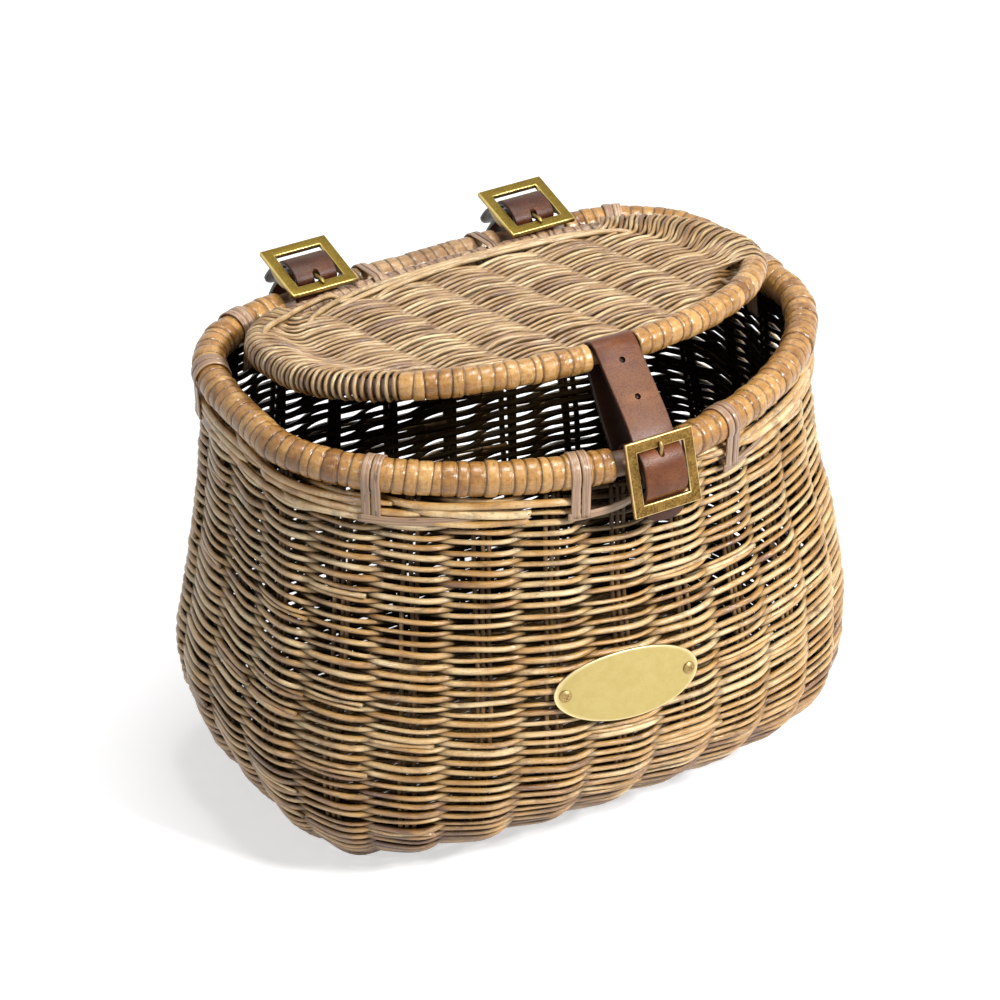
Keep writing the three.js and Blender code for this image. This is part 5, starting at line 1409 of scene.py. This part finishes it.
def plate_place(local):
    """Plate frame (x, out, up) to the model: rolled in its plane, leant with the wall, set on the weave."""
    half, front, _, power = wall_sizes(PLATE_Z)
    high = wall_sizes(PLATE_Z + PLATE_HALF_HEIGHT)[1]
    low = wall_sizes(PLATE_Z - PLATE_HALF_HEIGHT)[1]
    lean = math.atan2(high - low, 2 * PLATE_HALF_HEIGHT)
    x, y, z = local[..., 0], local[..., 1], local[..., 2]
    c, s = math.cos(PLATE_ROLL), math.sin(PLATE_ROLL)
    x, z = c * x + s * z, -s * x + c * z
    y, z = math.cos(lean) * y - math.sin(lean) * z, math.sin(lean) * y + math.cos(lean) * z
    middle = SPLIT_Y - front * quarter(PLATE_X / half, power) - 0.6 * MM
    return np.stack([x + PLATE_X, y + middle, z + PLATE_Z], -1)


def plate():
    """Oval plate: rings of an ellipse drawn in towards its middle, bent to the wall, edges rounded."""
    around = TURN * np.arange(96) / 96
    ring = np.array([0.0, 0.35, 0.7, 0.93, 0.975, 0.99, 1.0, 1.0, 0.99, 0.7, 0.0])
    depth = np.array([1, 1, 1, 1, 0.985, 0.92, 0.75, 0.2, 0.0, 0.0, 0.0]) * PLATE_THICKNESS
    x = PLATE_HALF_LENGTH * ring[:, None] * np.cos(around)[None]
    z = PLATE_HALF_HEIGHT * ring[:, None] * np.sin(around)[None]
    y = plate_bend(x) - depth[:, None]
    rows = np.arange(x.size).reshape(1, *x.shape)
    edge = np.broadcast_to(np.array([0, 0, 0, 0, 0.5, 1, 1, 0.6, 0, 0, 0])[:, None], x.shape)
    heap = Heap()
    heap.add(plate_place(np.stack([x, y, z], -1)), [skin(rows, True, False, False)[0]], edge=edge.ravel())
    heap.piece("badge_plate_brass", BRASS_PALE, "basket", "brass_pale", ["badge_plate"])
    for side, sign in (("left", -1), ("right", 1)):
        screw(side, sign * SCREW_REACH)


def screw(side, x):
    """Screw head: a dome over a disc, height falling as the square of the radius, with a cross sunk in it."""
    around = TURN * np.arange(64) / 64
    ring = np.concatenate([np.linspace(0, 0.95, 20), [1.0, 1.0]])
    px = SCREW_RADIUS * ring[:, None] * np.cos(around)
    pz = SCREW_RADIUS * ring[:, None] * np.sin(around)
    height = 1.5 * MM * (1 - 0.75 * ring[:, None] ** 2.4)
    arm, blade = 1.75 * MM, 0.42 * MM
    turn = math.radians(24 if x < 0 else 52)
    a, b = px * math.cos(turn) + pz * math.sin(turn), pz * math.cos(turn) - px * math.sin(turn)
    sunk = ((np.abs(a) < blade) & (np.abs(b) < arm)) | ((np.abs(b) < blade) & (np.abs(a) < arm))
    height = height - sunk * 0.8 * MM
    height[-1] = 0
    slope = math.atan2(float(plate_bend(np.array(x + 3 * MM)) - plate_bend(np.array(x - 3 * MM))), 6 * MM)
    lift = PLATE_THICKNESS + 0.15 * MM + height
    local = np.stack([x + px * math.cos(slope) + lift * math.sin(slope),
                      plate_bend(np.array(x)) + px * math.sin(slope) - lift * math.cos(slope), pz], -1)
    rows = np.arange(px.size).reshape(1, *px.shape)
    heap = Heap()
    heap.add(plate_place(local), [skin(rows, True, False, False)[0]], edge=np.full(px.size, 0.3))
    heap.piece(f"badge_screw_{side}_brass", BRASS_ANTIQUE, "basket", "brass_yellow", [f"badge_screw_{side}"])


weave_wall()
splices()
wall_stakes()
wale_rods()
woven_floor()
bare_hoop("rim_rod_bare", rim_rail, RIM_ROD_RADIUS, RIM_HEIGHT, same, "basket", "rim_rod", "rod_brown")
rim_bindings()
ties()
hinge_loops()
bare_hoop("lid_hoop_bare", lid_rail, LID_ROD_RADIUS * 0.85, 0.0, lid_place, "lid", "lid_hoop", "rod_brown")
lid_bindings()
lid_weave()
lid_back_rods()
closing_strap()
front_chape()
handlebar_straps()
buckles()
plate()


# Stage, light and camera.
def stage():
    """A pale floor, a bright plain world and three soft lamps."""
    size = 6.0
    mesh = bpy.data.meshes.new("floor")
    corners = [(-size, -size, 0), (size, -size, 0), (size, size, 0), (-size, size, 0)]
    mesh.from_pydata(corners, [], [(0, 1, 2, 3)])
    floor = bpy.data.objects.new("floor", mesh)
    bpy.context.scene.collection.objects.link(floor)
    f = Finish("pale_floor")
    f.finish((0.66, 0.66, 0.66, 1), 0.9, specular=0.1)
    rays = f.add("ShaderNodeLightPath")
    seen = f.math("MAXIMUM", rays.outputs["Is Camera Ray"], rays.outputs["Is Glossy Ray"])
    distance = f.add("ShaderNodeVectorMath", operation="LENGTH")
    f.link(f.add("ShaderNodeTexCoord").outputs["Object"], distance.inputs[0])
    far = f.spread(distance.outputs["Value"], 0.5, 2.2)
    glow = f.math("MULTIPLY", seen, f.math("ADD", f.math("MULTIPLY", far, 0.4), 0.6))
    f.shader.inputs["Emission Color"].default_value = (1, 1, 1, 1)
    f.link(glow, f.shader.inputs["Emission Strength"])
    mesh.materials.append(f.material)
    world = bpy.context.scene.world or bpy.data.worlds.new("studio")
    bpy.context.scene.world = world
    world.use_nodes = True
    tree = world.node_tree
    sky = tree.nodes["Background"]
    sky.inputs["Color"].default_value = (1, 1, 1, 1)
    rays = tree.nodes.new("ShaderNodeLightPath")
    seen = rays.outputs["Is Camera Ray"]
    for ray in ("Is Glossy Ray", "Is Transmission Ray"):
        either = tree.nodes.new("ShaderNodeMath")
        either.operation = "MAXIMUM"
        tree.links.new(seen, either.inputs[0])
        tree.links.new(rays.outputs[ray], either.inputs[1])
        seen = either.outputs[0]
    level = tree.nodes.new("ShaderNodeMapRange")
    level.inputs["To Min"].default_value = 0.13
    level.inputs["To Max"].default_value = 1.0
    tree.links.new(seen, level.inputs["Value"])
    tree.links.new(level.outputs[0], sky.inputs["Strength"])
    for name, place, width, power in (
        ("key", (0.75, -1.5, 1.5), 0.4, 52),
        ("top", (0.1, 0.0, 2.0), 0.6, 20),
        ("left", (-1.7, -0.6, 1.3), 0.25, 5),
    ):
        lamp = bpy.data.lights.new(name, "AREA")
        lamp.energy = power
        lamp.size = width
        holder = bpy.data.objects.new(name, lamp)
        bpy.context.scene.collection.objects.link(holder)
        holder.location = place
        aim = Vector((0, -0.02, 0.16)) - Vector(place)
        holder.rotation_euler = aim.to_track_quat("-Z", "Y").to_euler()


def camera():
    """The photograph's camera: where it stands, what it looks at and its frame shift."""
    lens = bpy.data.cameras.new("camera")
    lens.lens = 152.46
    lens.sensor_width = 36
    lens.shift_x = -0.02112
    lens.shift_y = 0.01669
    holder = bpy.data.objects.new("camera", lens)
    bpy.context.scene.collection.objects.link(holder)
    place = Vector((-1.00697, -1.70866, 1.37010))
    holder.location = place
    holder.rotation_euler = (Vector((0, -0.008, 0.1418)) - place).to_track_quat("-Z", "Y").to_euler()
    bpy.context.scene.camera = holder


stage()
camera()
bpy.context.scene.view_settings.view_transform = "Standard"
